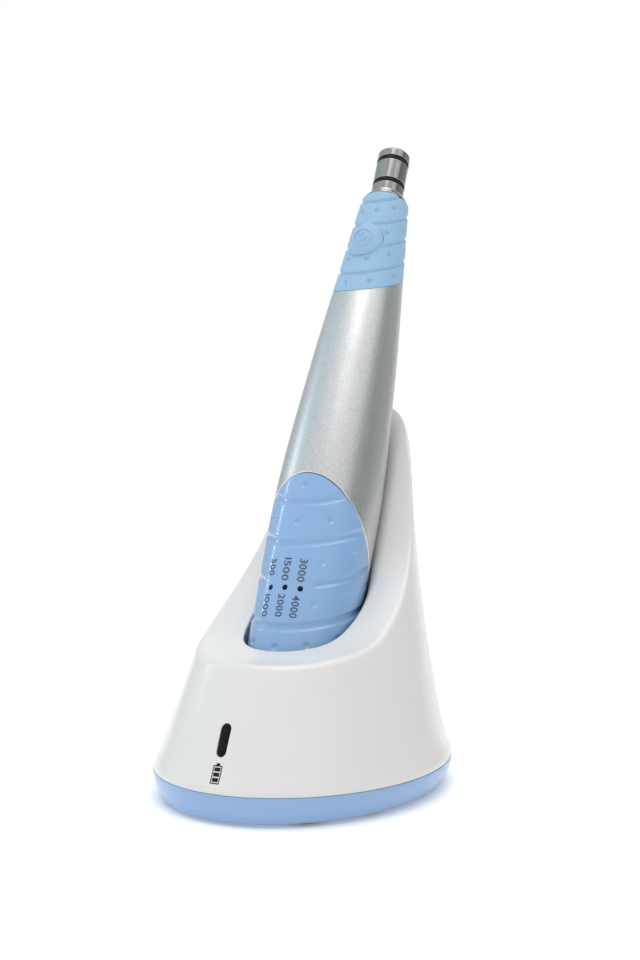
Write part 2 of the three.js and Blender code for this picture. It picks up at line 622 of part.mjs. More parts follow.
function addGears() {
  piece(handpiece, "sun_gear", spurGear(GEAR.sunTeeth, 0, 0.7), "brass");
  const planetPhase = Math.PI / GEAR.planetTeeth;
  const planet = spurGear(GEAR.planetTeeth, planetPhase, 0.75);
  const pins = [];
  for (let i = 0; i < PLANET_COUNT; i += 1) {
    const angle = (2 * Math.PI * i) / PLANET_COUNT;
    const place = [ORBIT_RADIUS * Math.cos(angle), ORBIT_RADIUS * Math.sin(angle), 0];
    piece(handpiece, `planet_gear_${i + 1}`, planet.translate(place), "brass");
    pins.push(rod(0.5, 95, 99.8, 12).translate(place));
  }
  const wheel = tube(5, SPINDLE_RADIUS + PRESS_GAP, 99.4, 101.4, 24);
  piece(handpiece, "planet_carrier", join(wheel, ...pins), "steel");
  const ringOutline = new THREE.Shape().absarc(0, 0, MOTOR_BORE - FIT_GAP, 0, 2 * Math.PI);
  ringOutline.holes.push(gearOutline(new THREE.Path(), GEAR.ringTeeth, 0, RING_TOOTH));
  const ring = new THREE.ExtrudeGeometry(ringOutline, {
    depth: 7.6, bevelEnabled: false, curveSegments: 12,
  });
  piece(handpiece, "ring_gear", solid(ring.translate(0, 0, 95)), "steel");
}

function addSpindle() {
  const shank = turned([
    [0, 99.4], [SPINDLE_RADIUS, 99.4], [SPINDLE_RADIUS, 139.4], [1.9, 139.8], [1.9, 142.6], [1.6, 143],
    [0, 143],
  ], 12);
  const slot = block([-3, -0.45, 141], [3, 0.45, 150]);
  piece(handpiece, "drive_spindle", cut(shank, slot, slot.rotate([0, 0, 90])), "steel");
}

addStandShell();
addStandBase();
addBaseFastenersAndFeet();
addBallastPlate();
addChargeElectronics();
addChargeContacts();
addEndPlug();
addRearGrip();
addBarrel();
addFrontGrip();
addButton();
addNose();
addBearings();
addPower();
addMotor();
addGears();
addSpindle();

export default object;
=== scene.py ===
"""Looks for the cordless dental handpiece in its charging stand.

Lengths in this script are millimetres until a mesh is made. The handpiece's own coordinates are the
height along its axis, the angle round it (0 at the front, growing to the right) and the distance from
it. The stand's are x, y and z from the middle of its base.
"""
import json
import math

import bmesh
import bpy
import numpy as np
from mathutils import Matrix, Vector


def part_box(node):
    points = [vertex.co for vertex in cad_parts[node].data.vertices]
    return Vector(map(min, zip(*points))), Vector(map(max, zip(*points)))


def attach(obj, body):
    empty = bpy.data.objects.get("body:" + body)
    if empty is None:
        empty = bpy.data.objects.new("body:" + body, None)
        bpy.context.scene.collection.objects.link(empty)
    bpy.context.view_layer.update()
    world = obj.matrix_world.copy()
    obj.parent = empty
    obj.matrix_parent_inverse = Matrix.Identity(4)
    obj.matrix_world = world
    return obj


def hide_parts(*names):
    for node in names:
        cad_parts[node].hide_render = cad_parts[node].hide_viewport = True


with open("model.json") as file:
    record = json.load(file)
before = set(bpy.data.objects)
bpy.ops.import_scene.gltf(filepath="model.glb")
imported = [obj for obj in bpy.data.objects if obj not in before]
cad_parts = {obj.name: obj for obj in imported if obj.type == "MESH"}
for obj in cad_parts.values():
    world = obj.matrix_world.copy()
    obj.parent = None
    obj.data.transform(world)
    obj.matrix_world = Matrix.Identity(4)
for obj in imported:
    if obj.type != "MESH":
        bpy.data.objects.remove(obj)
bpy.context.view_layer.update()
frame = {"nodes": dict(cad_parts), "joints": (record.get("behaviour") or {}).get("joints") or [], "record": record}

MM = 0.001
joints = {joint["name"]: joint for joint in frame["joints"]}

# ---- the frame's own coordinates

AXIS = np.array(joints["handpiece_lift"]["axis"])
BACKWARDS = np.array([0, AXIS[2], -AXIS[1]])
SIDEWAYS = np.array([1.0, 0, 0])
LEAN = math.atan2(AXIS[1], AXIS[2])
PIVOT = np.array(joints["rotor_spin"]["pos_m"]) / MM
AXIS_FOOT = PIVOT - AXIS * PIVOT[2] / AXIS[2]
BASE_BOX = [np.array(corner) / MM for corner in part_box("stand_base")]
BASE_Y = (BASE_BOX[0][1] + BASE_BOX[1][1]) / 2


def in_handpiece(x, y, height):
    """Handpiece coordinates (y points away from the front) to places in the frame."""
    x, y, height = np.broadcast_arrays(x, y, height)
    return AXIS_FOOT + x[..., None] * SIDEWAYS + y[..., None] * BACKWARDS + height[..., None] * AXIS


def round_axis(radius, angle, height):
    return in_handpiece(radius * np.sin(angle), -radius * np.cos(angle), height)


def in_stand(x, y, z):
    x, y, z = np.broadcast_arrays(x, y, z)
    return np.stack([x, y + BASE_Y, z], axis=-1)


# ---- sizes

BUTT = 14.0
PLUG_TOP = 17.0
BARREL_TOP = 113.0
GRIP_TOP = 132.8
NOSE_TIP = 146.2
NOSE_RADIUS = 3.65
NOSE_BORE = 2.4
COLLAR_RADIUS = 4.85
STEM_RADIUS = 4.3
O_RINGS = {"o_ring_rear": 137.34, "o_ring_front": 143.33}
GRIP_DEPTH = 1.4
FIT_GAP = 0.15  # between a grip and what it sits on
BODY_OUTLINE = [(0, 9.58), (30, 10.4), (60, 10.95), (90, 9.24), (115, 7.02), (130, 5.62), (134, 5.24)]

BUTTON_HEIGHT = 119.4
BUTTON_HALF_WIDTH = 4.05
BUTTON_HALF_LENGTH = 4.25
RING_RADIUS = 2.15
ARC_RADIUS = 0.98
ARC_HALF_WIDTH = 0.24
ARC_RISE = 0.2
WINDOW_HEIGHT = 38.5
WINDOW_RADIUS = 0.52
WINDOWS = {"speed_window_low": -18.8, "speed_window_mid": 0.0, "speed_window_high": 17.2}
PAD_SPREAD = 3.2
SIDES = {"left": -1, "right": 1}

WELL_RADIUS = 11.25
WELL_FLOOR = 13.4
SEAM = 5.5
UNDERSIDE = 0.6
WALL = 2.2
SECTION_HEIGHTS = [5.5, 6.3, 7.3, 9, 14, 22, 35, 50, 65, 82]
HALF_WIDTHS = [27.7, 27.75, 27.4, 26.7, 25.1, 22.95, 19.95, 17.4, 15.3, 12.6]
FRONTS = [-34.9, -34.7, -34.25, -33.4, -31.3, -27.6, -21.8, -16.4, -11.0, -4.8]
BACKS = [34.75, 34.85, 34.55, 33.9, 33.3, 32.7, 31.95, 31.3, 31.4, 31.9]
RIM_OUTLINE = [
    (-44, 26.6), (-28, 26.8), (-18, 27.5), (-5, 31.5), (10, 45.05), (22, 67.2), (33, 78.2), (44, 83),
]
BASE_RIM = (27.8, 35.0)  # half width and half depth at the seam
BASE_FOOT = (25.65, 33.9)
STATUS_MIDDLE = (-31.25, 14.3)
STATUS_TILT = math.radians(69.4)
JACK_HEIGHT = 12.6
CROSS_SLOTS = [(0.28, 1.3), (1.3, 0.28)]
DOG_SLOTS = [(3, 0.45), (0.45, 3)]
CORNERS = range(1, 5)  # the numbers of the feet and of the base's screws
FLOOR_OPENING = 4.0  # in the well's floor, round the charging contacts
FLOOR_THICKNESS = 1.6
TUBE_WALL = 1.5
ROOF = 3.0  # between the cavity and the rim
CAVITY_TOP = 64.0
CREST_DEPTH = 4  # from the rim's outer edge down to the cavity
LOW_EDGE = 0.45  # rounding of the well's mouth at the front
EDGE_GROWTH = 1.35  # how much softer it is at the tall back
CREST_SOFTNESS = 1.25
CREST_SPAN = (15.0, 82.0)  # heights on the stand between which its wall meets the rim
MOUTH_SPAN = (12.0, 110.0)  # heights on the handpiece between which the well meets the rim
CREASE = 35  # degrees between faces that look sharp
SOFT_CREASE = 50


def smooth_through(knots):
    """A smooth function through (x, y) knots, for arrays."""
    xs, ys = np.array(knots, float).T
    slopes = np.empty_like(ys)
    slopes[1:-1] = (ys[2:] - ys[:-2]) / (xs[2:] - xs[:-2])
    slopes[0] = (ys[1] - ys[0]) / (xs[1] - xs[0])
    slopes[-1] = (ys[-1] - ys[-2]) / (xs[-1] - xs[-2])

    def value(x):
        x = np.asarray(x, float)
        i = np.clip(np.searchsorted(xs, x) - 1, 0, len(xs) - 2)
        step = xs[i + 1] - xs[i]
        t = (x - xs[i]) / step
        rise = ys[i + 1] - ys[i]
        bend = (1 - t) * slopes[i] * step - t * slopes[i + 1] * step
        return ys[i] + rise * t + t * (1 - t) * (bend - (1 - 2 * t) * rise)

    return value


body_radius = smooth_through(BODY_OUTLINE)
half_width, front_edge, back_edge = (
    smooth_through(list(zip(SECTION_HEIGHTS, values))) for values in (HALF_WIDTHS, FRONTS, BACKS))
rim_height = smooth_through(RIM_OUTLINE)


def rear_boundary(angle):
    """Where the rear grip ends and the bare barrel starts."""
    return 50.3 + 12.2 * np.cos(angle)


def front_boundary(angle):
    """Where the bare barrel ends and the front grip starts."""
    return 105.85 + 5.8 * (1 - np.cos(angle))


# ---- meshes

def new_piece(name, shape, body, slot, replaces=(), sharp=CREASE, material=None):
    """Makes a smooth-shaded object of a shape, which is vertices in millimetres and faces.

    With a body, it is parented to that body's empty. Without a material of its own, it gets its slot's.
    """
    vertices, faces = shape
    mesh = bpy.data.meshes.new(name)
    mesh.from_pydata((np.asarray(vertices) * MM).tolist(), [], faces)
    work = bmesh.new()
    work.from_mesh(mesh)
    bmesh.ops.remove_doubles(work, verts=work.verts, dist=1e-7)
    bmesh.ops.recalc_face_normals(work, faces=work.faces)
    work.to_mesh(mesh)
    work.free()
    mesh.shade_smooth()
    mesh.set_sharp_from_angle(angle=math.radians(sharp))
    piece = bpy.data.objects.new(name, mesh)
    bpy.context.scene.collection.objects.link(piece)
    mesh.materials.append(material or SLOT_MATERIALS[slot])
    if body:
        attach(piece, body)
    if replaces:
        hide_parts(*replaces)
    return piece


def strip_faces(rows, columns, wrap_rows=False):
    """Quads between rows of points, each row closed round."""
    faces = []
    for r in range(rows if wrap_rows else rows - 1):
        low = r * columns
        high = ((r + 1) % rows) * columns
        for c in range(columns):
            after = (c + 1) % columns
            faces.append((low + c, low + after, high + after, high + c))
    return faces


def stacked(rows):
    """One stack of rings from a list of rings and stacks of rings."""
    return np.concatenate([row if row.ndim == 3 else row[None] for row in rows])


def ringed(rings, poles=False):
    """Vertices and faces of a stack of rings: closed on itself, or with a pole at each end."""
    rows, columns = rings.shape[:2]
    vertices = rings.reshape(-1, 3)
    faces = strip_faces(rows, columns, wrap_rows=not poles)
    if poles:
        vertices = np.vstack([vertices, rings[0].mean(axis=0), rings[-1].mean(axis=0)])
        first = rows * columns
        last = first + 1
        end = (rows - 1) * columns
        faces += [(first, (c + 1) % columns, c) for c in range(columns)]
        faces += [(last, end + c, end + (c + 1) % columns) for c in range(columns)]
    return vertices, faces


def rounded(profile, radius, steps=4, closed=False):
    """Rounds every corner of a profile of (radius, height) points."""
    points = [np.array(p, float) for p in profile]
    count = len(points)
    result = []
    for i, corner in enumerate(points):
        if not closed and i in (0, count - 1):
            result.append(corner)
            continue
        before = points[i - 1]
        after = points[(i + 1) % count]
        size = [min(radius, 0.45 * np.linalg.norm(side - corner)) for side in (before, after)]
        back = (before - corner) / np.linalg.norm(before - corner)
        on = (after - corner) / np.linalg.norm(after - corner)
        start = corner + back * size[0]
        stop = corner + on * size[1]
        result.append(start + back * size[0] * 0.1)
        for t in np.linspace(0, 1, steps + 1):
            result.append((1 - t) ** 2 * start + 2 * t * (1 - t) * corner + t ** 2 * stop)
        result.append(stop + on * size[1] * 0.1)
    return np.array(result)


def circle_angles(count):
    return np.linspace(0, 2 * math.pi, count, endpoint=False)


def turned(profile, place, facets=96, closed=False):
    """Rings of a turned piece. place(x, y, height) puts a point in the frame."""
    angles = circle_angles(facets)
    radius, height = np.array(profile).T
    rings = place(radius[:, None] * np.sin(angles), -radius[:, None] * np.cos(angles), height[:, None])
    return ringed(rings, poles=not closed)


def rod(radius, start, stop):
    """The profile of a plain rod."""
    return [(0, start), (radius, start), (radius, stop), (0, stop)]


def carve(piece, *cutters):
    """Cuts closed meshes out of a piece and throws them away."""
    for cutter in cutters:
        modifier = piece.modifiers.new("cut", "BOOLEAN")
        modifier.operation = "DIFFERENCE"
        modifier.solver = "EXACT"
        modifier.object = cutter
    graph = bpy.context.evaluated_depsgraph_get()
    carved = bpy.data.meshes.new_from_object(piece.evaluated_get(graph))
    old = piece.data
    piece.modifiers.clear()
    piece.data = carved
    bpy.data.meshes.remove(old)
    carved.name = piece.name
    carved.set_sharp_from_angle(angle=math.radians(CREASE))
    for cutter in cutters:
        bpy.data.objects.remove(cutter)


def cutter_of(shape):
    """A closed mesh for carve, which rides no body."""
    return new_piece("cutter", shape, None, "white_shell")


def smooth_step(low, high, value):
    t = np.clip((value - low) / (high - low), 0, 1)
    return t * t * (3 - 2 * t)


# ---- materials

def fill(made, **sockets):
    """Sets a node's sockets, whose names have underscores for their spaces here."""
    for name, value in sockets.items():
        made.inputs[name.replace("_", " ")].default_value = value
    return made


def node(tree, kind, **sockets):
    return fill(tree.nodes.new(kind), **sockets)


def link(output, socket):
    socket.id_data.links.new(output, socket)


def surface(name, color, roughness, metallic=0.0):
    """A new material, its principled shader and its object coordinates."""
    material = bpy.data.materials.new(name)
    material.use_nodes = True
    shader = material.node_tree.nodes["Principled BSDF"]
    fill(shader, Base_Color=(*color, 1), Roughness=roughness, Metallic=metallic)
    return material, shader, object_place(material.node_tree)


def object_place(tree, stretch=(1, 1, 1), lean=0.0):
    """Object coordinates, turned so that z runs along the handpiece when lean is given."""
    coordinates = tree.nodes.new("ShaderNodeTexCoord")
    mapping = node(tree, "ShaderNodeMapping", Rotation=(lean, 0, 0), Scale=stretch)
    link(coordinates.outputs["Object"], mapping.inputs["Vector"])
    return mapping.outputs["Vector"]


def noise(place, scale, detail=2.0, rough=0.5):
    texture = node(place.id_data, "ShaderNodeTexNoise", Scale=scale, Detail=detail, Roughness=rough)
    link(place, texture.inputs["Vector"])
    return texture.outputs["Fac"]


def mapped(value, span, low=0.0, high=1.0):
    """A node that maps a span of a value to low and high."""
    made = node(value.id_data, "ShaderNodeMapRange", From_Min=span[0], From_Max=span[1],
                To_Min=low, To_Max=high)
    link(value, made.inputs["Value"])
    return made


def vary(factor, shader, low, high, span=(0.3, 0.7)):
    """Varies a shader's roughness between two values with a noise."""
    link(mapped(factor, span, low, high).outputs["Result"], shader.inputs["Roughness"])


def tint(factor, shader, first, second, span=(0.3, 0.7)):
    """Mixes two close colours over a surface with a noise."""
    ramp = factor.id_data.nodes.new("ShaderNodeValToRGB")
    for element, place, color in zip(ramp.color_ramp.elements, span, (first, second)):
        element.position = place
        element.color = (*color, 1)
    link(factor, ramp.inputs["Fac"])
    link(ramp.outputs["Color"], shader.inputs["Base Color"])


def bump(factor, shader, distance):
    bumped = node(factor.id_data, "ShaderNodeBump", Strength=1.0, Distance=distance)
    link(factor, bumped.inputs["Height"])
    link(bumped.outputs["Normal"], shader.inputs["Normal"])


def shade(color, factor):
    return tuple(min(1.0, channel * factor) for channel in color)


def moulded_plastic(name, color, roughness, coat=0.0, pebble=2.0e-6):
    """Moulded plastic: a faint pebble in the surface and slightly uneven gloss and colour."""
    material, shader, place = surface(name, color, roughness)
    tint(noise(place, 120, 3), shader, shade(color, 0.985), shade(color, 1.012), (0, 1))
    vary(noise(place, 700, 3), shader, roughness * 0.9, roughness * 1.1, (0, 1))
    bump(noise(place, 2500), shader, pebble)
    fill(shader, Coat_Weight=coat, Coat_Roughness=0.04, IOR=1.48)
    return material


def silicone(name, color):
    """Soft silicone: matt, with a fine grain and light passing a little way in."""
    material, shader, place = surface(name, color, 0.52)
    tint(noise(place, 120, 3), shader, shade(color, 0.98), shade(color, 1.015), (0, 1))
    vary(noise(place, 1500, 3), shader, 0.42, 0.58, (0, 1))
    bump(noise(place, 5200), shader, 6.0e-6)
    fill(shader, Subsurface_Weight=0.05, Subsurface_Scale=1.0, IOR=1.41)
    fill(shader, Subsurface_Radius=(0.0006, 0.0010, 0.0016))
    return material


def satin_metal(name, color):
    """Bead-blasted and anodised aluminium: a fine sparkle and soft broad reflections."""
    material, shader, place = surface(name, color, 0.34, 1.0)
    grain = noise(place, 3400, 3, 0.7)
    tint(grain, shader, shade(color, 0.86), shade(color, 1.14), (0.35, 0.65))
    vary(noise(place, 3800), shader, 0.3, 0.4)
    bump(grain, shader, 4.0e-6)
    return material


def turned_steel(name, color, roughness=0.13, lines=26000, lean=LEAN):
    """Steel off the lathe: fine rings round the axis and a polished shine."""
    material, shader, place = surface(name, color, roughness, 1.0)
    rings = noise(object_place(material.node_tree, (0.02, 0.02, 1), lean), lines, 2, 0.6)
    tint(noise(place, 700, 3), shader, shade(color, 0.93), shade(color, 1.06))
    vary(rings, shader, roughness * 0.75, roughness * 1.35)
    bump(rings, shader, 0.7e-6)
    return material


def black_rubber(name):
    material, shader, place = surface(name, (0.012, 0.012, 0.013), 0.55)
    tint(noise(place, 900, 3), shader, (0.009, 0.009, 0.01), (0.02, 0.02, 0.021))
    vary(noise(place, 1500, 3), shader, 0.45, 0.68)
    bump(noise(place, 6000), shader, 5.0e-6)
    fill(shader, Specular_IOR_Level=0.2)
    return material


def smoked_window(name, color):
    """Nearly black clear plastic with a dull shine."""
    material, shader, place = surface(name, color, 0.35)
    tint(noise(place, 600), shader, shade(color, 0.8), shade(color, 1.3))
    vary(noise(place, 1200), shader, 0.31, 0.40)
    fill(shader, Specular_IOR_Level=0.12)
    return material


def printed_ink(name, color):
    material, shader, place = surface(name, color, 0.5)
    tint(noise(place, 3500, 3), shader, shade(color, 0.85), shade(color, 1.15))
    vary(noise(place, 2500), shader, 0.42, 0.6)
    fill(shader, Specular_IOR_Level=0.15)
    return material


def circuit_board(name):
    """Green lacquer with paler tracks showing through."""
    material, shader, place = surface(name, (0.02, 0.13, 0.05), 0.35)
    cells = node(material.node_tree, "ShaderNodeTexVoronoi", Scale=900.0)
    cells.distance = "MANHATTAN"
    link(place, cells.inputs["Vector"])
    tint(cells.outputs["Distance"], shader, (0.05, 0.22, 0.09), (0.018, 0.12, 0.045), (0.05, 0.2))
    vary(noise(place, 400), shader, 0.28, 0.45)
    return material


SLOT_MATERIALS = {
    "white_shell": moulded_plastic("white_plastic", (0.745, 0.737, 0.727), 0.22, pebble=1.2e-6),
    "base_blue": moulded_plastic("base_plastic", (0.268, 0.425, 0.68), 0.22, coat=0.2),
    "grip_blue": moulded_plastic("grip_plastic", (0.255, 0.43, 0.70), 0.22, coat=0.5),
    "silicone_blue": silicone("grip_silicone", (0.32, 0.51, 0.70)),
    "barrel_silver": satin_metal("barrel_metal", (0.66, 0.67, 0.67)),
    "nose_steel": turned_steel("nose_steel", (0.39, 0.38, 0.375)),
    "inner_steel": turned_steel("plain_steel", (0.48, 0.48, 0.48), 0.32, 9000, 0.0),
    "gear_brass": turned_steel("gear_brass", (0.72, 0.52, 0.22), 0.25, 9000),
    "contact_gold": turned_steel("contact_gold", (0.86, 0.62, 0.24), 0.18, 14000),
    "seal_black": black_rubber("seal_rubber"),
    "black_plastic": moulded_plastic("black_plastic", (0.02, 0.02, 0.022), 0.38, pebble=6e-6),
    "window_black": smoked_window("dark_window", (0.008, 0.008, 0.009)),
    "lamp_amber": moulded_plastic("lamp_body", (0.8, 0.46, 0.1), 0.2, coat=0.5),
    "board_green": circuit_board("board_green"),
    "cell_wrap": moulded_plastic("cell_wrap", (0.04, 0.14, 0.42), 0.22, coat=0.4),
    "magnet_grey": moulded_plastic("magnet_grey", (0.06, 0.06, 0.065), 0.5, pebble=1.2e-5),
}
navy_window = smoked_window("navy_window", (0.005, 0.010, 0.026))
number_ink = printed_ink("number_ink", (0.075, 0.10, 0.135))
symbol_ink = printed_ink("symbol_ink", (0.012, 0.012, 0.012))


def finish_cad_nodes():
    """Gives every CAD node the procedural material of its slot."""
    slots = {part["node"]: part["material_slot"] for part in frame["record"]["subparts"]}
    for name, obj in frame["nodes"].items():
        obj.data.materials.clear()
        obj.data.materials.append(SLOT_MATERIALS[slots[name]])


# ---- camera, lights, floor

CAMERA_AZIMUTH = math.radians(27.42)
CAMERA_ELEVATION = math.radians(-0.01)
CAMERA_ROLL = math.radians(0.40)
CAMERA_DISTANCE = 239.76
CAMERA_TARGET = (2.66, 0.0, 60.4)
SENSOR = 36.0
FOCAL_SHARE = 1206.03 / 960  # focal length over the picture's height


LIGHT_TARGET = (0, 0, 0.06)
# A light: its azimuth, elevation, distance and size in metres, power and colour.
LIGHTS = [
    ("key", 28, 70, 0.8, (0.3, 0.3), 0.3, (1, 1, 1)),
    ("right_fill", 95, 52, 0.8, (0.4, 0.4), 0.35, (1, 1, 1)),
    ("edge_strip", -85, 21, 0.55, (0.007, 0.2), 0.12, (0.86, 0.96, 1.0)),
]


def direction(azimuth, elevation):
    """The way from the object towards an azimuth, 0 in front and growing to the right, and elevation."""
    level = math.cos(elevation)
    return Vector((math.sin(azimuth) * level, -math.cos(azimuth) * level, math.sin(elevation)))


def add_camera():
    back = direction(CAMERA_AZIMUTH, CAMERA_ELEVATION)
    right = Vector((math.cos(CAMERA_AZIMUTH), math.sin(CAMERA_AZIMUTH), 0))
    up = back.cross(right)
    rolled_right = math.cos(CAMERA_ROLL) * right + math.sin(CAMERA_ROLL) * up
    rolled_up = math.cos(CAMERA_ROLL) * up - math.sin(CAMERA_ROLL) * right
    target = Vector(in_stand(*CAMERA_TARGET).tolist())
    place = (target + CAMERA_DISTANCE * back) * MM
    data = bpy.data.cameras.new("camera")
    data.sensor_width = SENSOR
    data.lens = SENSOR * FOCAL_SHARE
    data.clip_start = 0.01
    camera = bpy.data.objects.new("camera", data)
    turn = Matrix((rolled_right, rolled_up, back)).transposed().to_4x4()
    camera.matrix_world = Matrix.Translation(place) @ turn
    bpy.context.scene.collection.objects.link(camera)
    bpy.context.scene.camera = camera


def add_area_light(name, azimuth, elevation, distance, size, power, color):
    """A soft box that faces the object. Azimuth 0 is in front of it and 90 at its right."""
    target = Vector(LIGHT_TARGET)
    away = direction(math.radians(azimuth), math.radians(elevation))
    data = bpy.data.lights.new(name, "AREA")
    data.shape = "RECTANGLE"
    data.size, data.size_y = size
    data.energy = power
    data.color = color
    light = bpy.data.objects.new(name, data)
    light.location = target + away * distance
    light.rotation_euler = away.to_track_quat("Z", "Y").to_euler()
    bpy.context.scene.collection.objects.link(light)


# The surroundings' red, green and blue at each azimuth.
AROUND = [
    (-180, 0.95, 0.95, 0.95), (-146, 0.92, 0.93, 0.94), (-124, 0.60, 0.62, 0.63), (-98, 0.60, 0.67, 0.70),
    (-72, 0.64, 0.79, 0.86), (-50, 0.79, 0.85, 0.88), (-15, 0.76, 0.76, 0.77), (34, 0.77, 0.77, 0.78),
    (64, 0.84, 0.84, 0.82), (84, 0.26, 0.30, 0.29), (114, 0.28, 0.32, 0.31), (130, 0.42, 0.44, 0.42),
    (158, 0.46, 0.47, 0.46), (172, 0.95, 0.95, 0.95),
]
LOW_SHARE = 0.72  # how bright the surroundings are at the horizon
LOW_SPAN = (0.02, 0.42)  # as heights on the sphere of directions
OVERHEAD = 3.0
OVERHEAD_SPAN = (0.85, 0.985)


def add_surroundings():
    """A pale studio, darker on the object's right and brightest overhead, that the camera sees as white."""
    world = bpy.data.worlds.new("studio")
    world.use_nodes = True
    tree = world.node_tree
    background = tree.nodes["Background"]
    way = tree.nodes.new("ShaderNodeTexCoord")
    parts = tree.nodes.new("ShaderNodeSeparateXYZ")
    link(way.outputs["Generated"], parts.inputs["Vector"])
    forwards = tree.nodes.new("ShaderNodeMath")
    forwards.operation = "MULTIPLY"
    forwards.inputs[1].default_value = -1
    link(parts.outputs["Y"], forwards.inputs[0])
    angle = tree.nodes.new("ShaderNodeMath")
    angle.operation = "ARCTAN2"
    link(parts.outputs["X"], angle.inputs[0])
    link(forwards.outputs["Value"], angle.inputs[1])
    share = mapped(angle.outputs["Value"], (-math.pi, math.pi))
    ramp = tree.nodes.new("ShaderNodeValToRGB")
    while len(ramp.color_ramp.elements) < len(AROUND):
        ramp.color_ramp.elements.new(0.5)
    for element, (degrees, *level) in zip(ramp.color_ramp.elements, AROUND):
        element.position = (degrees + 180) / 360
        element.color = (*level, 1)
    link(share.outputs["Result"], ramp.inputs["Fac"])
    low = mapped(parts.outputs["Z"], LOW_SPAN, LOW_SHARE)
    graded = tree.nodes.new("ShaderNodeVectorMath")
    graded.operation = "SCALE"
    link(ramp.outputs["Color"], graded.inputs["Vector"])
    link(low.outputs["Result"], graded.inputs["Scale"])
    height = mapped(parts.outputs["Z"], OVERHEAD_SPAN)
    height.interpolation_type = "SMOOTHSTEP"
    blend = tree.nodes.new("ShaderNodeMix")
    blend.data_type = "RGBA"
    blend.inputs["B"].default_value = (OVERHEAD, OVERHEAD, OVERHEAD, 1)
    link(height.outputs["Result"], blend.inputs["Factor"])
    link(graded.outputs["Vector"], blend.inputs["A"])
    link(blend.outputs["Result"], background.inputs["Color"])
    plain = node(tree, "ShaderNodeBackground", Color=(1, 1, 1, 1), Strength=1.0)
    rays = tree.nodes.new("ShaderNodeLightPath")
    mix = tree.nodes.new("ShaderNodeMixShader")
    link(rays.outputs["Is Camera Ray"], mix.inputs["Fac"])
    link(background.outputs["Background"], mix.inputs[1])
    link(plain.outputs["Background"], mix.inputs[2])
    link(mix.outputs["Shader"], tree.nodes["World Output"].inputs["Surface"])
    bpy.context.scene.world = world


def add_floor():
    material, shader, place = surface("floor", (0.93, 0.93, 0.93), 0.6)
    vary(noise(place, 4), shader, 0.55, 0.65)
    fill(shader, Specular_IOR_Level=0.2, Emission_Color=(1, 1, 1, 1), Emission_Strength=0.2)
    reach = 6000
    corners = [(-reach, -reach, 0), (reach, -reach, 0), (reach, reach, 0), (-reach, reach, 0)]
    floor = new_piece("floor", (corners, [(0, 1, 2, 3)]), None, None, material=material)


def add_lights():
    for light in LIGHTS:
        add_area_light(*light)


# ---- stand

def wall_depth(z):
    """The middle and the half of the stand's depth at a height."""
    return (front_edge(z) + back_edge(z)) / 2, (back_edge(z) - front_edge(z)) / 2


def wall_place(turn, z, inset=0.0):
    """A point of the stand's upright wall. turn is 0 at the front and grows to the right."""
    middle, half_depth = wall_depth(z)
    return in_stand((half_width(z) - inset) * np.sin(turn), middle - (half_depth - inset) * np.cos(turn), z)


def bisect(count, span, is_below, steps=40):
    """Finds for each of a count of entries where in a span is_below turns false."""
    low = np.full(count, span[0])
    high = np.full(count, span[1])
    for _ in range(steps):
        middle = (low + high) / 2
        below = is_below(middle)
        low = np.where(below, middle, low)
        high = np.where(below, high, middle)
    return (low + high) / 2


def corner_curve(start, corner, stop, steps):
    """Rows that round a corner, from start to stop."""
    t = np.linspace(0, 1, steps)[:, None, None]
    return (1 - t) ** 2 * start + 2 * t * (1 - t) * corner + t ** 2 * stop


def rim_slope(y):
    return (rim_height(y + 0.01) - rim_height(y - 0.01)) / 0.02


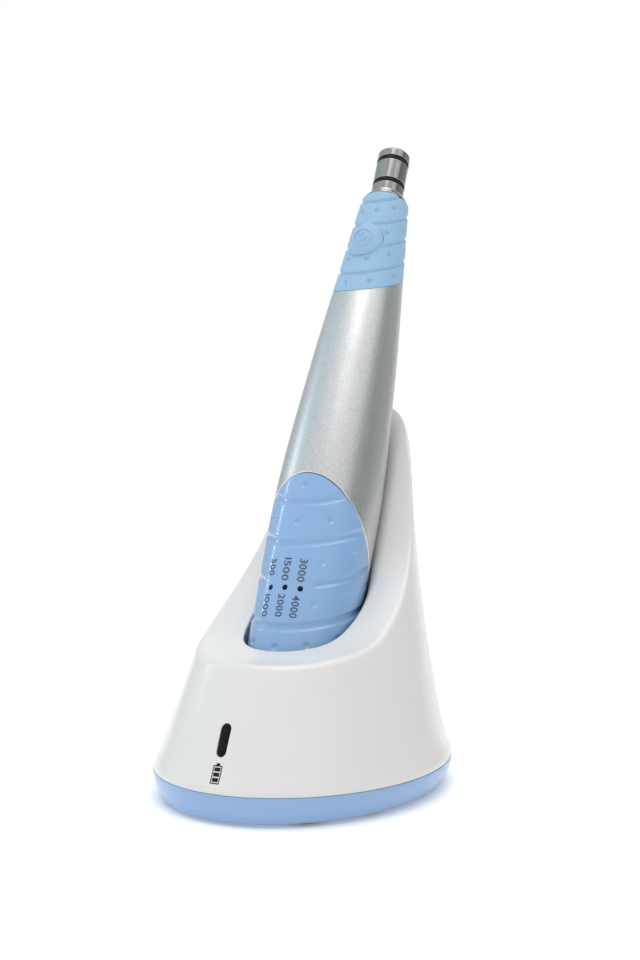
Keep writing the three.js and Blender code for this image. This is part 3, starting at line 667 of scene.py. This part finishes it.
def add_stand_shell():
    turn = circle_angles(288)

    def wall_under_rim(z):
        place = wall_place(turn, z)
        return place[..., 2] < rim_height(place[..., 1] - BASE_Y)

    crest_z = bisect(len(turn), CREST_SPAN, wall_under_rim)
    crest = wall_place(turn, crest_z)
    edge = LOW_EDGE + EDGE_GROWTH * smooth_step(28, 55, crest_z)

    def mouth_height(out, depth):
        """Where the well's wall, moved outwards, comes within a depth of the rim's surface."""
        def under(height):
            x, y, z = np.moveaxis(round_axis(WELL_RADIUS + out, turn, height), -1, 0)
            return z < rim_height(y - BASE_Y) - depth * np.hypot(1, rim_slope(y - BASE_Y))

        return bisect(len(turn), MOUTH_SPAN, under)

    mouth = round_axis(WELL_RADIUS + edge, turn, mouth_height(edge, 0))

    def rim(share):
        """The rim's surface at a share of the way from its outer edge to the well's mouth."""
        x = crest[:, 0] + (mouth[:, 0] - crest[:, 0]) * share
        y = crest[:, 1] + (mouth[:, 1] - crest[:, 1]) * share - BASE_Y
        return in_stand(x, y, rim_height(y))

    width = np.linalg.norm(mouth - crest, axis=-1)
    soft = np.minimum(CREST_SOFTNESS, 0.38 * width)
    wall_top = wall_place(turn, crest_z - soft)
    rim_start = rim(soft / width)

    lip = SEAM + 0.02
    rise = np.linspace(0, 1, 90)[:, None] ** 1.25
    rows = [
        wall_place(turn, lip, 0.12), wall_place(turn, lip + 0.08, 0.02),
        wall_place(turn, (lip + 0.2) + (crest_z - soft - lip - 0.2) * rise),
        corner_curve(wall_top, crest, rim_start, 12)[1:],
    ]
    rows += [rim(soft / width + (1 - soft / width) * share) for share in np.linspace(0, 1, 16)[1:]]
    for roll in np.linspace(0, math.pi / 2, 9)[1:]:
        out = edge * (1 - math.sin(roll))
        well_top = mouth_height(out, edge * (1 - math.cos(roll)))
        rows.append(round_axis(WELL_RADIUS + out, turn, well_top))
    down = np.linspace(0, 1, 40)[1:, None]
    tube = WELL_RADIUS + TUBE_WALL
    under_floor = WELL_FLOOR - FLOOR_THICKNESS
    well = [
        (WELL_RADIUS, well_top + (WELL_FLOOR + 0.6 - well_top) * down),
        (WELL_RADIUS - 0.2, WELL_FLOOR + 0.15), (WELL_RADIUS - 0.7, WELL_FLOOR),
        (FLOOR_OPENING, WELL_FLOOR), (FLOOR_OPENING, under_floor), (tube, under_floor),
    ]
    rows += [round_axis(radius, turn, height) for radius, height in well]
    ceiling = np.minimum(crest_z - CREST_DEPTH, CAVITY_TOP)
    level_tube = (CAVITY_TOP - tube * np.cos(turn) * math.sin(LEAN)) / math.cos(LEAN)
    tube_end = round_axis(tube, turn, np.minimum(level_tube, mouth_height(TUBE_WALL, ROOF)))
    wall_end = wall_place(turn, ceiling, WALL)
    for share in np.linspace(0, 1, 7):
        row = tube_end + (wall_end - tube_end) * share
        y = row[:, 1] - BASE_Y
        row[:, 2] = np.minimum(row[:, 2], rim_height(y) - ROOF * np.hypot(1, rim_slope(y)))
        rows.append(row)
    fall = np.linspace(0, 1, 24)[1:, None]
    rows.append(wall_place(turn, ceiling + (lip - ceiling) * fall, WALL))
    skin = ringed(stacked(rows))
    shell = new_piece("shell_skin", skin, "stand", "white_shell", ["stand_shell"], SOFT_CREASE)
    jack_hole = turned(rod(3.6, 27, 40), behind_stand, 48)
    carve(shell, cutter_of(status_pill(1.04, 3.04, -4, 3)), cutter_of(jack_hole))


def status_place(x, up, out):
    """Coordinates on the status window: across, along the wall and out of it."""
    y, z = STATUS_MIDDLE
    lift = np.array([0, math.cos(STATUS_TILT), math.sin(STATUS_TILT)])
    outwards = np.array([0, -math.sin(STATUS_TILT), math.cos(STATUS_TILT)])
    x, up, out = np.broadcast_arrays(x, up, out)
    return in_stand(0, y, z) + x[..., None] * SIDEWAYS + up[..., None] * lift + out[..., None] * outwards


def status_pill(radius, half_length, bottom, top, crown=0.0):
    """A closed pill across the wall, with a rounded edge and a crown when asked for."""
    end = np.linspace(0, math.pi, 24)
    straight = half_length - radius
    x = np.concatenate([radius * np.cos(end), radius * np.cos(end + math.pi)])
    y = np.concatenate([straight + radius * np.sin(end), -straight + radius * np.sin(end + math.pi)])
    rings = [status_place(x, y, bottom)]
    if crown:
        for angle in np.linspace(0, math.pi / 2, 7)[:-1]:
            shrink = 1 - 0.28 * (1 - math.cos(angle))
            drop = crown * (1 - math.sin(angle))
            rings.append(status_place(x * shrink, y - np.sign(y) * (1 - shrink) * radius, top - drop))
        rings.append(status_place(x * 0.4, y * 0.85, top + crown * 0.12))
    else:
        rings.append(status_place(x, y, top))
    return ringed(np.stack(rings), poles=True)


def behind_stand(x, y, depth):
    """Coordinates of the charging inlet, whose axis runs backwards."""
    return in_stand(x, depth, JACK_HEIGHT + y)


def add_status_window():
    glass = status_pill(1.0, 3.0, -2, -0.1, crown=0.35)
    new_piece("status_window_glass", glass, "stand", "window_black", ["status_lens"], 60)


def beside_axis(side):
    """Places round the charging contact on one side of the handpiece's axis."""
    def place(x, y, height):
        return in_handpiece(x + side * PAD_SPREAD, y, height)

    return place


def add_well_floor():
    profile = rounded([(0, WELL_FLOOR - 1.55), (4.3, WELL_FLOOR - 1.55), (4.3, WELL_FLOOR - 0.3),
                       (3.95, WELL_FLOOR - 0.3), (3.95, WELL_FLOOR), (0, WELL_FLOOR)], 0.1)
    disc = new_piece("well_floor", turned(profile, in_handpiece, 64), "stand", "white_shell")
    hole = rod(0.95, 5, 20)
    carve(disc, *[cutter_of(turned(hole, beside_axis(side), 32)) for side in SIDES.values()])


def base_ring(turn, z, inset):
    """The base's outside, which swells from its foot to the seam."""
    share = np.clip((z - UNDERSIDE) / (SEAM - UNDERSIDE), 0, 1)
    swell = np.sin(share * math.pi / 2)
    wide = BASE_FOOT[0] + (BASE_RIM[0] - BASE_FOOT[0]) * swell
    deep = BASE_FOOT[1] + (BASE_RIM[1] - BASE_FOOT[1]) * swell
    return in_stand((wide - inset) * np.sin(turn), -(deep - inset) * np.cos(turn), z)


def add_stand_base():
    turn = circle_angles(256)
    insets = [(UNDERSIDE, 6.0), (UNDERSIDE, 0.7), (UNDERSIDE + 0.08, 0.25)]
    insets += [(z, 0.0) for z in np.linspace(UNDERSIDE + 0.3, SEAM - 0.12, 16)]
    insets += [(SEAM - 0.04, 0.02), (SEAM - 0.01, 0.12), (SEAM - 0.3, WALL), (2.9, WALL), (2.7, WALL + 0.3)]
    tray = ringed(np.stack([base_ring(turn, z, inset) for z, inset in insets]), poles=True)
    base = new_piece("base_tray", tray, "stand", "base_blue", ["stand_base"], SOFT_CREASE)
    recess = rod(4.4, -1, 1.5)
    screw_hole = [(0, -1), (2.6, -1), (2.6, 2.3), (1.4, 2.3), (1.4, 4), (0, 4)]
    cutters = []
    for i in CORNERS:
        cutters.append(cutter_of(turned(recess, upright(f"rubber_foot_{i}"), 48)))
        cutters.append(cutter_of(turned(screw_hole, upright(f"base_screw_{i}"), 40)))
    carve(base, *cutters)


def upright(name):
    """Places round the upright axis of a CAD node."""
    low, high = (np.array(corner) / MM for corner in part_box(name))
    middle = (low + high) / 2

    def place(x, y, height):
        return in_stand(x + middle[0], y + (middle[1] - BASE_Y), height)

    return place


def add_feet_and_screws():
    foot = rounded([(0, 0), (2.9, 0), (3.9, 0.55), (4.1, 1.2), (0, 1.2)], 0.3)
    screw = rounded([(0, 1.4), (2.2, 1.4), (2.2, 2.2), (1.1, 2.2), (1.1, 10.6), (0, 11)], 0.15)
    for i in CORNERS:
        name = f"rubber_foot_{i}"
        new_piece(f"foot_pad_{i}", turned(foot, upright(name), 64), "stand", "seal_black", [name])
        name = f"base_screw_{i}"
        place = upright(name)
        made = new_piece(f"screw_{i}", turned(screw, place, 48), "stand", "inner_steel", [name])
        carve(made, *[cutter_of(box_shape(place, half, 0.5, 2.0)) for half in CROSS_SLOTS])


def box_shape(place, half, bottom, top):
    """A plain box for cutting, as vertices and faces."""
    corners = [(-1, -1), (1, -1), (1, 1), (-1, 1)]
    vertices = [place(a * half[0], b * half[1], z) for z in (bottom, top) for a, b in corners]
    faces = [(0, 3, 2, 1), (4, 5, 6, 7), (0, 1, 5, 4), (1, 2, 6, 5), (2, 3, 7, 6), (3, 0, 4, 7)]
    return np.array(vertices), faces


def add_jack():
    collar = rounded([(2.75, 24.5), (3.35, 24.5), (3.35, 33.2), (2.75, 33.2)], 0.25, closed=True)
    new_piece("jack_collar", turned(collar, behind_stand, 64, closed=True), "stand", "black_plastic")
    pin = rounded([(0, 24.3), (0.95, 24.3), (0.95, 31.4), (0, 32)], 0.3)
    new_piece("jack_pin", turned(pin, behind_stand, 32), "stand", "inner_steel")


def add_battery_symbol():
    """A printed battery with three bars, on the wall under the status window."""
    thickness = 0.03

    def on_wall(x, z, out):
        middle, half_depth = wall_depth(z)
        y = middle - half_depth * np.sqrt(1 - (x / half_width(z)) ** 2)
        return in_stand(x, y - out, z)

    vertices = []
    faces = []

    def patch(x0, x1, z0, z1, steps=6):
        xs = np.linspace(x0, x1, steps)
        zs = np.linspace(z0, z1, steps)
        start = len(vertices)
        for out in (-thickness, thickness):
            for z in zs:
                vertices.extend(on_wall(xs, np.full_like(xs, z), out))

        def index(layer, r, c):
            return start + layer * steps * steps + r * steps + c

        for r in range(steps - 1):
            for c in range(steps - 1):
                cell = [(r, c), (r, c + 1), (r + 1, c + 1), (r + 1, c)]
                faces.append([index(1, *corner) for corner in cell])
                faces.append([index(0, *corner) for corner in reversed(cell)])
        last = steps - 1
        for k in range(last):
            for first, second in (((0, k), (0, k + 1)), ((last, k + 1), (last, k)),
                                  ((k + 1, 0), (k, 0)), ((k, last), (k + 1, last))):
                faces.append([index(0, *first), index(0, *second), index(1, *second), index(1, *first)])

    half = 0.92
    bottom = 7.2
    top = 10.15
    line = 0.17
    patch(-half, -half + line, bottom, top)
    patch(half - line, half, bottom, top)
    patch(-half + line, half - line, bottom, bottom + line)
    patch(-half + line, half - line, top - line, top)
    patch(-0.36, 0.36, top, top + 0.36)
    for i in range(3):
        low = bottom + 0.34 + i * 0.83
        patch(-0.6, 0.6, low, low + 0.61)
    new_piece("battery_symbol", (vertices, faces), "stand", "black_plastic", material=symbol_ink)


# ---- grips

# A groove: its height at the front, its climb and the angle from which it is cut.
REAR_GROOVES = [(56.1, 8.8, 0), (47.6, 7.3, 0), (38.95, 6.5, 31), (30.6, 6.45, 0), (22.6, 6.0, 0)]
# A row of dimples: its height at the front and the angle from which it is pressed in.
REAR_DIMPLES = [(59.8, 0), (51.9, 0), (43.3, 35), (34.8, 35), (26.7, 0), (19.6, 35)]
SINGLE_ABOVE = 58.0  # a row above this height has one dimple
REAR_SPACING = 35.0
REAR_CLIMB = 6.6
FRONT_GROOVES = [(129.75, 4.9, 0), (123.3, 5.0, 0), (116.85, 5.6, 0), (110.35, 6.2, 0)]
# A row of dimples: its height at the front, its climb, its first angle and its spacing.
FRONT_DIMPLES = [
    (127.2, 4.5, 13.0, 40.0), (120.35, 5.5, 44.0, 37.6), (114.23, 5.6, 14.0, 42.0),
    (108.0, 6.0, -15.7, 43.3),
]
BUTTON_CLEARING = (4.5, 4.95)  # half width and half length without dimples
END_MARGIN = 1.2  # the least from a dimple to the front grip's ends
REAR_GROOVE_CUT = (0.42, 1.0)  # depth and half width
REAR_DIMPLE_CUT = (0.34, 0.95)  # depth and radius
FRONT_GROOVE_CUT = (0.33, 0.6)
FRONT_DIMPLE_CUT = (0.5, 0.85)


def wrapped(angle):
    """Angle in -pi..pi."""
    return (angle + math.pi) % (2 * math.pi) - math.pi


def groove_depth(angle, height, grooves, depth, half_width_mm):
    """How far the slanting grooves, with a flat bottom and soft flanks, sink the surface."""
    sunk = np.zeros(np.broadcast(angle, height).shape)
    side = np.abs(wrapped(angle))
    radius = body_radius(height)
    for start, climb, first in grooves:
        middle = start + climb * (1 - np.cos(angle))
        slope = climb * np.sin(angle) / radius
        distance = np.abs(height - middle) / np.sqrt(1 + slope ** 2)
        profile = 1 - smooth_step(0.3, 1.0, distance / half_width_mm)
        begin = smooth_step(math.radians(first - 3), math.radians(first + 5), side) if first else 1.0
        sunk = np.maximum(sunk, depth * profile * begin)
    return sunk


def dimple_depth(angle, height, dimples, depth, radius_mm):
    """How far round dimples sink the surface."""
    sunk = np.zeros(np.broadcast(angle, height).shape)
    for at_height, at_angle in dimples:
        across = wrapped(angle - at_angle) * body_radius(at_height)
        share = np.clip((across ** 2 + (height - at_height) ** 2) / radius_mm ** 2, 0, 1)
        sunk = np.maximum(sunk, depth * (1 - share) ** 2)
    return sunk


def rear_dimple_places():
    places = []
    for start, first in REAR_DIMPLES:
        angles = [k * REAR_SPACING for k in range(-5, 6)]
        if start > SINGLE_ABOVE:
            angles = [0.0]
        if first:
            angles = [a for a in angles if abs(a) >= first]
        for degrees in angles:
            angle = math.radians(degrees)
            height = start + REAR_CLIMB * (1 - math.cos(angle))
            if height < rear_boundary(angle) - 1.8:
                places.append((height, angle))
    return places


def front_dimple_places():
    places = []
    for start, climb, first, spacing in FRONT_DIMPLES:
        for k in range(-4, 5):
            angle = math.radians(first + k * spacing)
            if abs(angle) > math.pi:
                continue
            height = start + climb * (1 - math.cos(angle))
            across = body_radius(height) * math.sin(angle)
            apart = math.hypot(across / BUTTON_CLEARING[0], (height - BUTTON_HEIGHT) / BUTTON_CLEARING[1])
            near_button = apart < 1 and math.cos(angle) > 0
            if not near_button and front_boundary(angle) + END_MARGIN < height < GRIP_TOP - END_MARGIN:
                places.append((height, angle))
    return places


def button_distance(angle, height):
    """Distance from the button's middle as a share of its outline, in front view."""
    across = body_radius(height) * np.sin(angle)
    share = np.hypot(across / BUTTON_HALF_WIDTH, (height - BUTTON_HEIGHT) / BUTTON_HALF_LENGTH)
    return np.where(np.cos(angle) > 0, share, 9.0)


def sleeve(name, bottom, top, outside, inside, rows, columns, edges, **piece):
    """A sleeve round the handpiece. bottom and top give its ends for each angle, edges their rounding."""
    angle = circle_angles(columns)
    low = bottom(angle) + 0 * angle
    high = top(angle) + 0 * angle
    share = np.linspace(0, 1, rows)[:, None]
    height = low + (high - low) * share
    radius = outside(angle, height)
    for distance, edge in zip((height - low, high - height), edges):
        roll = np.clip(1 - distance / edge, 0, 1)
        radius = radius - edge * (1 - np.sqrt(1 - roll ** 2))
    rows_out = round_axis(radius, angle, height)
    height_in = high + (low - high) * np.linspace(0, 1, 14)[:, None]
    rows_in = round_axis(inside(height_in), angle, height_in)
    return new_piece(name, ringed(np.concatenate([rows_out, rows_in])), "handpiece", **piece)


def add_rear_grip():
    dimples = rear_dimple_places()

    def outside(angle, height):
        below_border = rear_boundary(angle) - height
        fade = 0.25 + 0.75 * smooth_step(0.2, 2.2, below_border)
        sunk = groove_depth(angle, height, REAR_GROOVES, *REAR_GROOVE_CUT) * fade
        sunk = np.maximum(sunk, dimple_depth(angle, height, dimples, *REAR_DIMPLE_CUT))
        return body_radius(height) - sunk

    grip = sleeve(
        "rear_grip_skin", lambda a: PLUG_TOP + 0.12, lambda a: rear_boundary(a) - 0.05, outside,
        lambda h: body_radius(h) - GRIP_DEPTH + FIT_GAP, 320, 320, (0.22, 0.22),
        slot="grip_blue", replaces=["rear_grip"])
    hole = rod(WINDOW_RADIUS + 0.05, 8, 12)
    carve(grip, *[cutter_of(window_rod(degrees, hole)) for degrees in WINDOWS.values()])


def window_rod(degrees, profile):
    """A turned shape that points out from the axis at the speed windows' height."""
    angle = math.radians(degrees)
    out = np.array([math.sin(angle), -math.cos(angle)])
    side = np.array([math.cos(angle), math.sin(angle)])

    def place(x, y, height):
        return in_handpiece(out[0] * height + side[0] * x, out[1] * height + side[1] * x, WINDOW_HEIGHT + y)

    return turned(profile, place, 36)


def add_speed_windows():
    surface_at = float(body_radius(WINDOW_HEIGHT))
    profile = rounded([(0, 7.4), (WINDOW_RADIUS, 7.4), (WINDOW_RADIUS, surface_at - 0.03),
                       (0, surface_at + 0.02)], 0.08)
    for name, degrees in WINDOWS.items():
        glass = window_rod(degrees, profile)
        new_piece(f"{name}_glass", glass, "handpiece", "window_black", [name], material=navy_window)


def add_front_grip():
    dimples = front_dimple_places()

    def outside(angle, height):
        clear = smooth_step(1.03, 1.16, button_distance(angle, height))
        sunk = groove_depth(angle, height, FRONT_GROOVES, *FRONT_GROOVE_CUT)
        sunk = np.maximum(sunk, dimple_depth(angle, height, dimples, *FRONT_DIMPLE_CUT))
        return body_radius(height) - clear * sunk

    def inside(height):
        on_barrel = body_radius(height) - GRIP_DEPTH
        return np.where(height < BARREL_TOP, on_barrel, STEM_RADIUS) + FIT_GAP

    grip = sleeve(
        "front_grip_skin", lambda a: front_boundary(a) + 0.02, lambda a: GRIP_TOP, outside, inside,
        260, 280, (0.22, 0.55), slot="silicone_blue", replaces=["front_grip"])
    carve(grip, cutter_of(button_post(0.03, -1, 14)))


def button_post(clearance, near, far):
    angle = circle_angles(120)
    x = (BUTTON_HALF_WIDTH + clearance) * np.cos(angle)
    height = BUTTON_HEIGHT + (BUTTON_HALF_LENGTH + clearance) * np.sin(angle)
    return ringed(np.stack([in_handpiece(x, -near, height), in_handpiece(x, -far, height)]), poles=True)


def button_relief(x, y):
    """Raised ring and power symbol on the button, in its own plane."""
    radius = np.hypot(x, y)

    def line(distance, half):
        return 1 - smooth_step(half * 0.4, half, np.abs(distance))

    ring = line(radius - RING_RADIUS, 0.32) * 0.27
    away_from_top = np.abs(np.arctan2(x, y)) > math.radians(38)
    arc = line(radius - ARC_RADIUS, ARC_HALF_WIDTH) * ARC_RISE * away_from_top
    bar = line(x, ARC_HALF_WIDTH) * ARC_RISE * smooth_step(0.0, 0.15, y) * (1 - smooth_step(1.15, 1.3, y))
    return ring + np.maximum(arc, bar)


def add_button():
    angle = circle_angles(144)
    rings = []
    bottom = 5.3
    flat = 0.88  # the share of the button inside its rounded edge
    edge = 0.12
    shoulder_steps = 1 - edge * (1 - np.sin(np.linspace(0, math.pi / 2, 10)))[1:]
    for share in np.concatenate([np.linspace(0.02, flat, 64), shoulder_steps]):
        x = share * BUTTON_HALF_WIDTH * np.cos(angle)
        up = share * BUTTON_HALF_LENGTH * np.sin(angle)
        height = BUTTON_HEIGHT + up
        ground = np.sqrt(np.maximum(body_radius(height) ** 2 - x ** 2, 0.01))
        dome = 0.62 + 0.6 * (1 - share ** 2)
        shoulder = 0.48 * (1 - np.sqrt(max(0.0, 1 - max(0.0, (share - flat) / edge) ** 2)))
        rings.append(in_handpiece(x, -(ground + dome - shoulder + button_relief(x, up)), height))
    x = BUTTON_HALF_WIDTH * np.cos(angle)
    up = BUTTON_HALF_LENGTH * np.sin(angle)
    rings.append(in_handpiece(x, -bottom, BUTTON_HEIGHT + up))
    rings.append(in_handpiece(x * 0.8, -bottom, BUTTON_HEIGHT + up * 0.8))
    rings.append(in_handpiece(x * 0.8, -6.0, BUTTON_HEIGHT + up * 0.8))
    cap = ringed(np.stack(rings), poles=True)
    new_piece("button_cap", cap, "power_button", "silicone_blue", ["power_button"], SOFT_CREASE)


# ---- barrel, plug and nose

def add_barrel():
    angle = circle_angles(256)
    low = rear_boundary(angle) + 0.05
    high = front_boundary(angle) - 0.02
    bevel = 0.18
    top_bevel = 0.05
    rear_bore = 7.9
    motor_bore = 6.8
    stem_bore = 4.6

    share = np.linspace(0, 1, 60)[:, None]
    band = low + bevel + (high - low - bevel - top_bevel) * share
    under_rear = (PLUG_TOP + 0.3) + (low - PLUG_TOP - 0.3) * np.linspace(0, 1, 10)[:, None]
    under_front = high + (BARREL_TOP - 0.4 - high) * np.linspace(0, 1, 6)[:, None]
    profile = [
        (rear_bore, PLUG_TOP + 0.3), (body_radius(under_rear) - GRIP_DEPTH, under_rear),
        (body_radius(low) - bevel, low), (body_radius(band), band), (body_radius(high) - top_bevel, high),
        (body_radius(under_front) - GRIP_DEPTH, under_front), (5.6, BARREL_TOP), (stem_bore, BARREL_TOP),
        (stem_bore, 103.2), (motor_bore, 103.2), (motor_bore, 60.5), (rear_bore, 59.5),
    ]
    skin = ringed(stacked([round_axis(radius, angle, height) for radius, height in profile]))
    new_piece("barrel_skin", skin, "handpiece", "barrel_silver", ["barrel"], 30)


def add_end_plug():
    rim = float(body_radius(PLUG_TOP))
    profile = rounded([(0, BUTT), (rim - 0.9, BUTT), (rim, BUTT + 1.6), (rim, PLUG_TOP), (7.6, PLUG_TOP),
                       (7.6, 20.4), (0, 20.4)], 0.7, 6)
    cap = turned(profile, in_handpiece, 160)
    plug = new_piece("butt_cap", cap, "handpiece", "grip_blue", ["end_plug"])
    hole = rod(1.95, 10, BUTT + 1)
    pad = rounded(rod(1.8, BUTT + 0.05, BUTT + 0.8), 0.15)
    wells = []
    for side_name, side in SIDES.items():
        wells.append(cutter_of(turned(hole, beside_axis(side), 48)))
        name = f"charge_pad_{side_name}"
        disc = turned(pad, beside_axis(side), 48)
        new_piece(f"{name}_disc", disc, "handpiece", "contact_gold", [name])
    carve(plug, *wells)


def add_nose():
    half_groove = 0.55
    groove_floor = 2.83
    shoulder = GRIP_TOP + 0.1
    profile = [(1.6, 107), (STEM_RADIUS, 107), (STEM_RADIUS, shoulder), (COLLAR_RADIUS, shoulder),
               (COLLAR_RADIUS, 133.35), (4.5, 133.6), (4.0, 134.15), (NOSE_RADIUS, 134.8)]
    for middle in O_RINGS.values():
        profile += [(NOSE_RADIUS, middle - half_groove), (groove_floor, middle - half_groove),
                    (groove_floor, middle + half_groove), (NOSE_RADIUS, middle + half_groove)]
    profile += [(NOSE_RADIUS, NOSE_TIP - 0.65), (NOSE_RADIUS - 0.6, NOSE_TIP), (NOSE_BORE + 0.15, NOSE_TIP),
                (NOSE_BORE, NOSE_TIP - 0.15), (NOSE_BORE, 125.5), (1.6, 125.5)]
    tube = turned(rounded(profile, 0.1, 3, closed=True), in_handpiece, 144, closed=True)
    new_piece("nose_sleeve", tube, "handpiece", "nose_steel", ["nose_spigot"])
    for name, middle in O_RINGS.items():
        section = circle_angles(20)
        ring = np.stack([3.25 + 0.42 * np.cos(section), middle + 0.46 * np.sin(section)], axis=1)
        seal = turned(ring, in_handpiece, 144, closed=True)
        new_piece(f"{name}_seal", seal, "handpiece", "seal_black", [name])


def add_drive_spindle():
    profile = rounded([(0, 99.4), (1.15, 99.4), (1.15, 139.2), (1.9, 139.8), (1.9, 143), (0, 143)], 0.25)
    shaft = turned(profile, in_handpiece, 64)
    dog = new_piece("spindle_dog", shaft, "spindle", "nose_steel", ["drive_spindle"])
    cross = [cutter_of(box_shape(in_handpiece, half, 141, 150)) for half in DOG_SLOTS]
    carve(dog, *cross)


def add_contact_pins():
    profile = rounded([(0, 8.6), (0.8, 8.6), (0.8, 9.8), (0.6, 9.8), (0.6, BUTT - 0.15),
                       (0, BUTT - 0.1)], 0.3, 5)
    for side_name, side in SIDES.items():
        name = f"contact_pin_{side_name}"
        new_piece(f"{name}_tip", turned(profile, beside_axis(side), 36), name, "contact_gold", [name])


# ---- printed numbers

# A number: its text, the height where it starts, its length and its angle.
SPEED_MARKS = [
    ("500", 44.3, 3.35, -21.0), ("1500", 44.45, 4.6, -2.0), ("3000", 44.45, 4.6, 15.8),
    ("1000", 37.15, 4.5, -21.5), ("2000", 37.15, 4.5, -2.0), ("4000", 37.05, 4.4, 14.8),
]
MARK_SIZE = 1.5
GLYPH_GAP = 0.09


def flat_glyph(character):
    """Vertices and faces of one extruded character, in the font's own units."""
    curve = bpy.data.curves.new("mark", "FONT")
    curve.body = character
    curve.extrude = 0.5
    curve.offset = 0.012
    holder = bpy.data.objects.new("mark", curve)
    bpy.context.scene.collection.objects.link(holder)
    graph = bpy.context.evaluated_depsgraph_get()
    mesh = bpy.data.meshes.new_from_object(holder.evaluated_get(graph))
    bpy.data.objects.remove(holder)
    vertices = np.array([v.co[:] for v in mesh.vertices])
    faces = [tuple(p.vertices) for p in mesh.polygons]
    bpy.data.meshes.remove(mesh)
    return vertices, faces


def flat_number(text):
    """A number's characters side by side with even gaps, as vertices and faces."""
    rows = []
    faces = []
    along = 0.0
    count = 0
    for character in text:
        shape, cells = flat_glyph(character)
        left = shape[:, 0].min()
        right = shape[:, 0].max()
        rows.append(shape + [along - left, 0, 0])
        faces += [tuple(count + corner for corner in cell) for cell in cells]
        along += right - left + GLYPH_GAP
        count += len(shape)
    return np.concatenate(rows), faces


def add_speed_marks():
    """Speeds in revolutions a minute, read from the nose towards the butt."""
    for i, (text, start, length, degrees) in enumerate(SPEED_MARKS):
        flat, faces = flat_number(text)
        low = flat.min(axis=0)
        high = flat.max(axis=0)
        height = start - (flat[:, 0] - low[0]) / (high[0] - low[0]) * length
        across = ((flat[:, 1] - low[1]) / (high[1] - low[1]) - 0.5) * MARK_SIZE
        radius = body_radius(height)
        proud = np.where(flat[:, 2] > 0, 0.035, -0.08)
        vertices = round_axis(radius + proud, math.radians(degrees) + across / radius, height)
        mark = (vertices, faces)
        new_piece(f"speed_mark_{i + 1}", mark, "handpiece", "black_plastic", material=number_ink)


# ---- build

add_camera()
add_surroundings()
add_lights()
add_floor()
finish_cad_nodes()
add_stand_shell()
add_well_floor()
add_status_window()
add_stand_base()
add_feet_and_screws()
add_jack()
add_battery_symbol()
add_rear_grip()
add_speed_windows()
add_speed_marks()
add_front_grip()
add_button()
add_barrel()
add_end_plug()
add_nose()
add_drive_spindle()
add_contact_pins()

scene = bpy.context.scene
scene.view_settings.view_transform = "Standard"
scene.view_settings.look = "None"
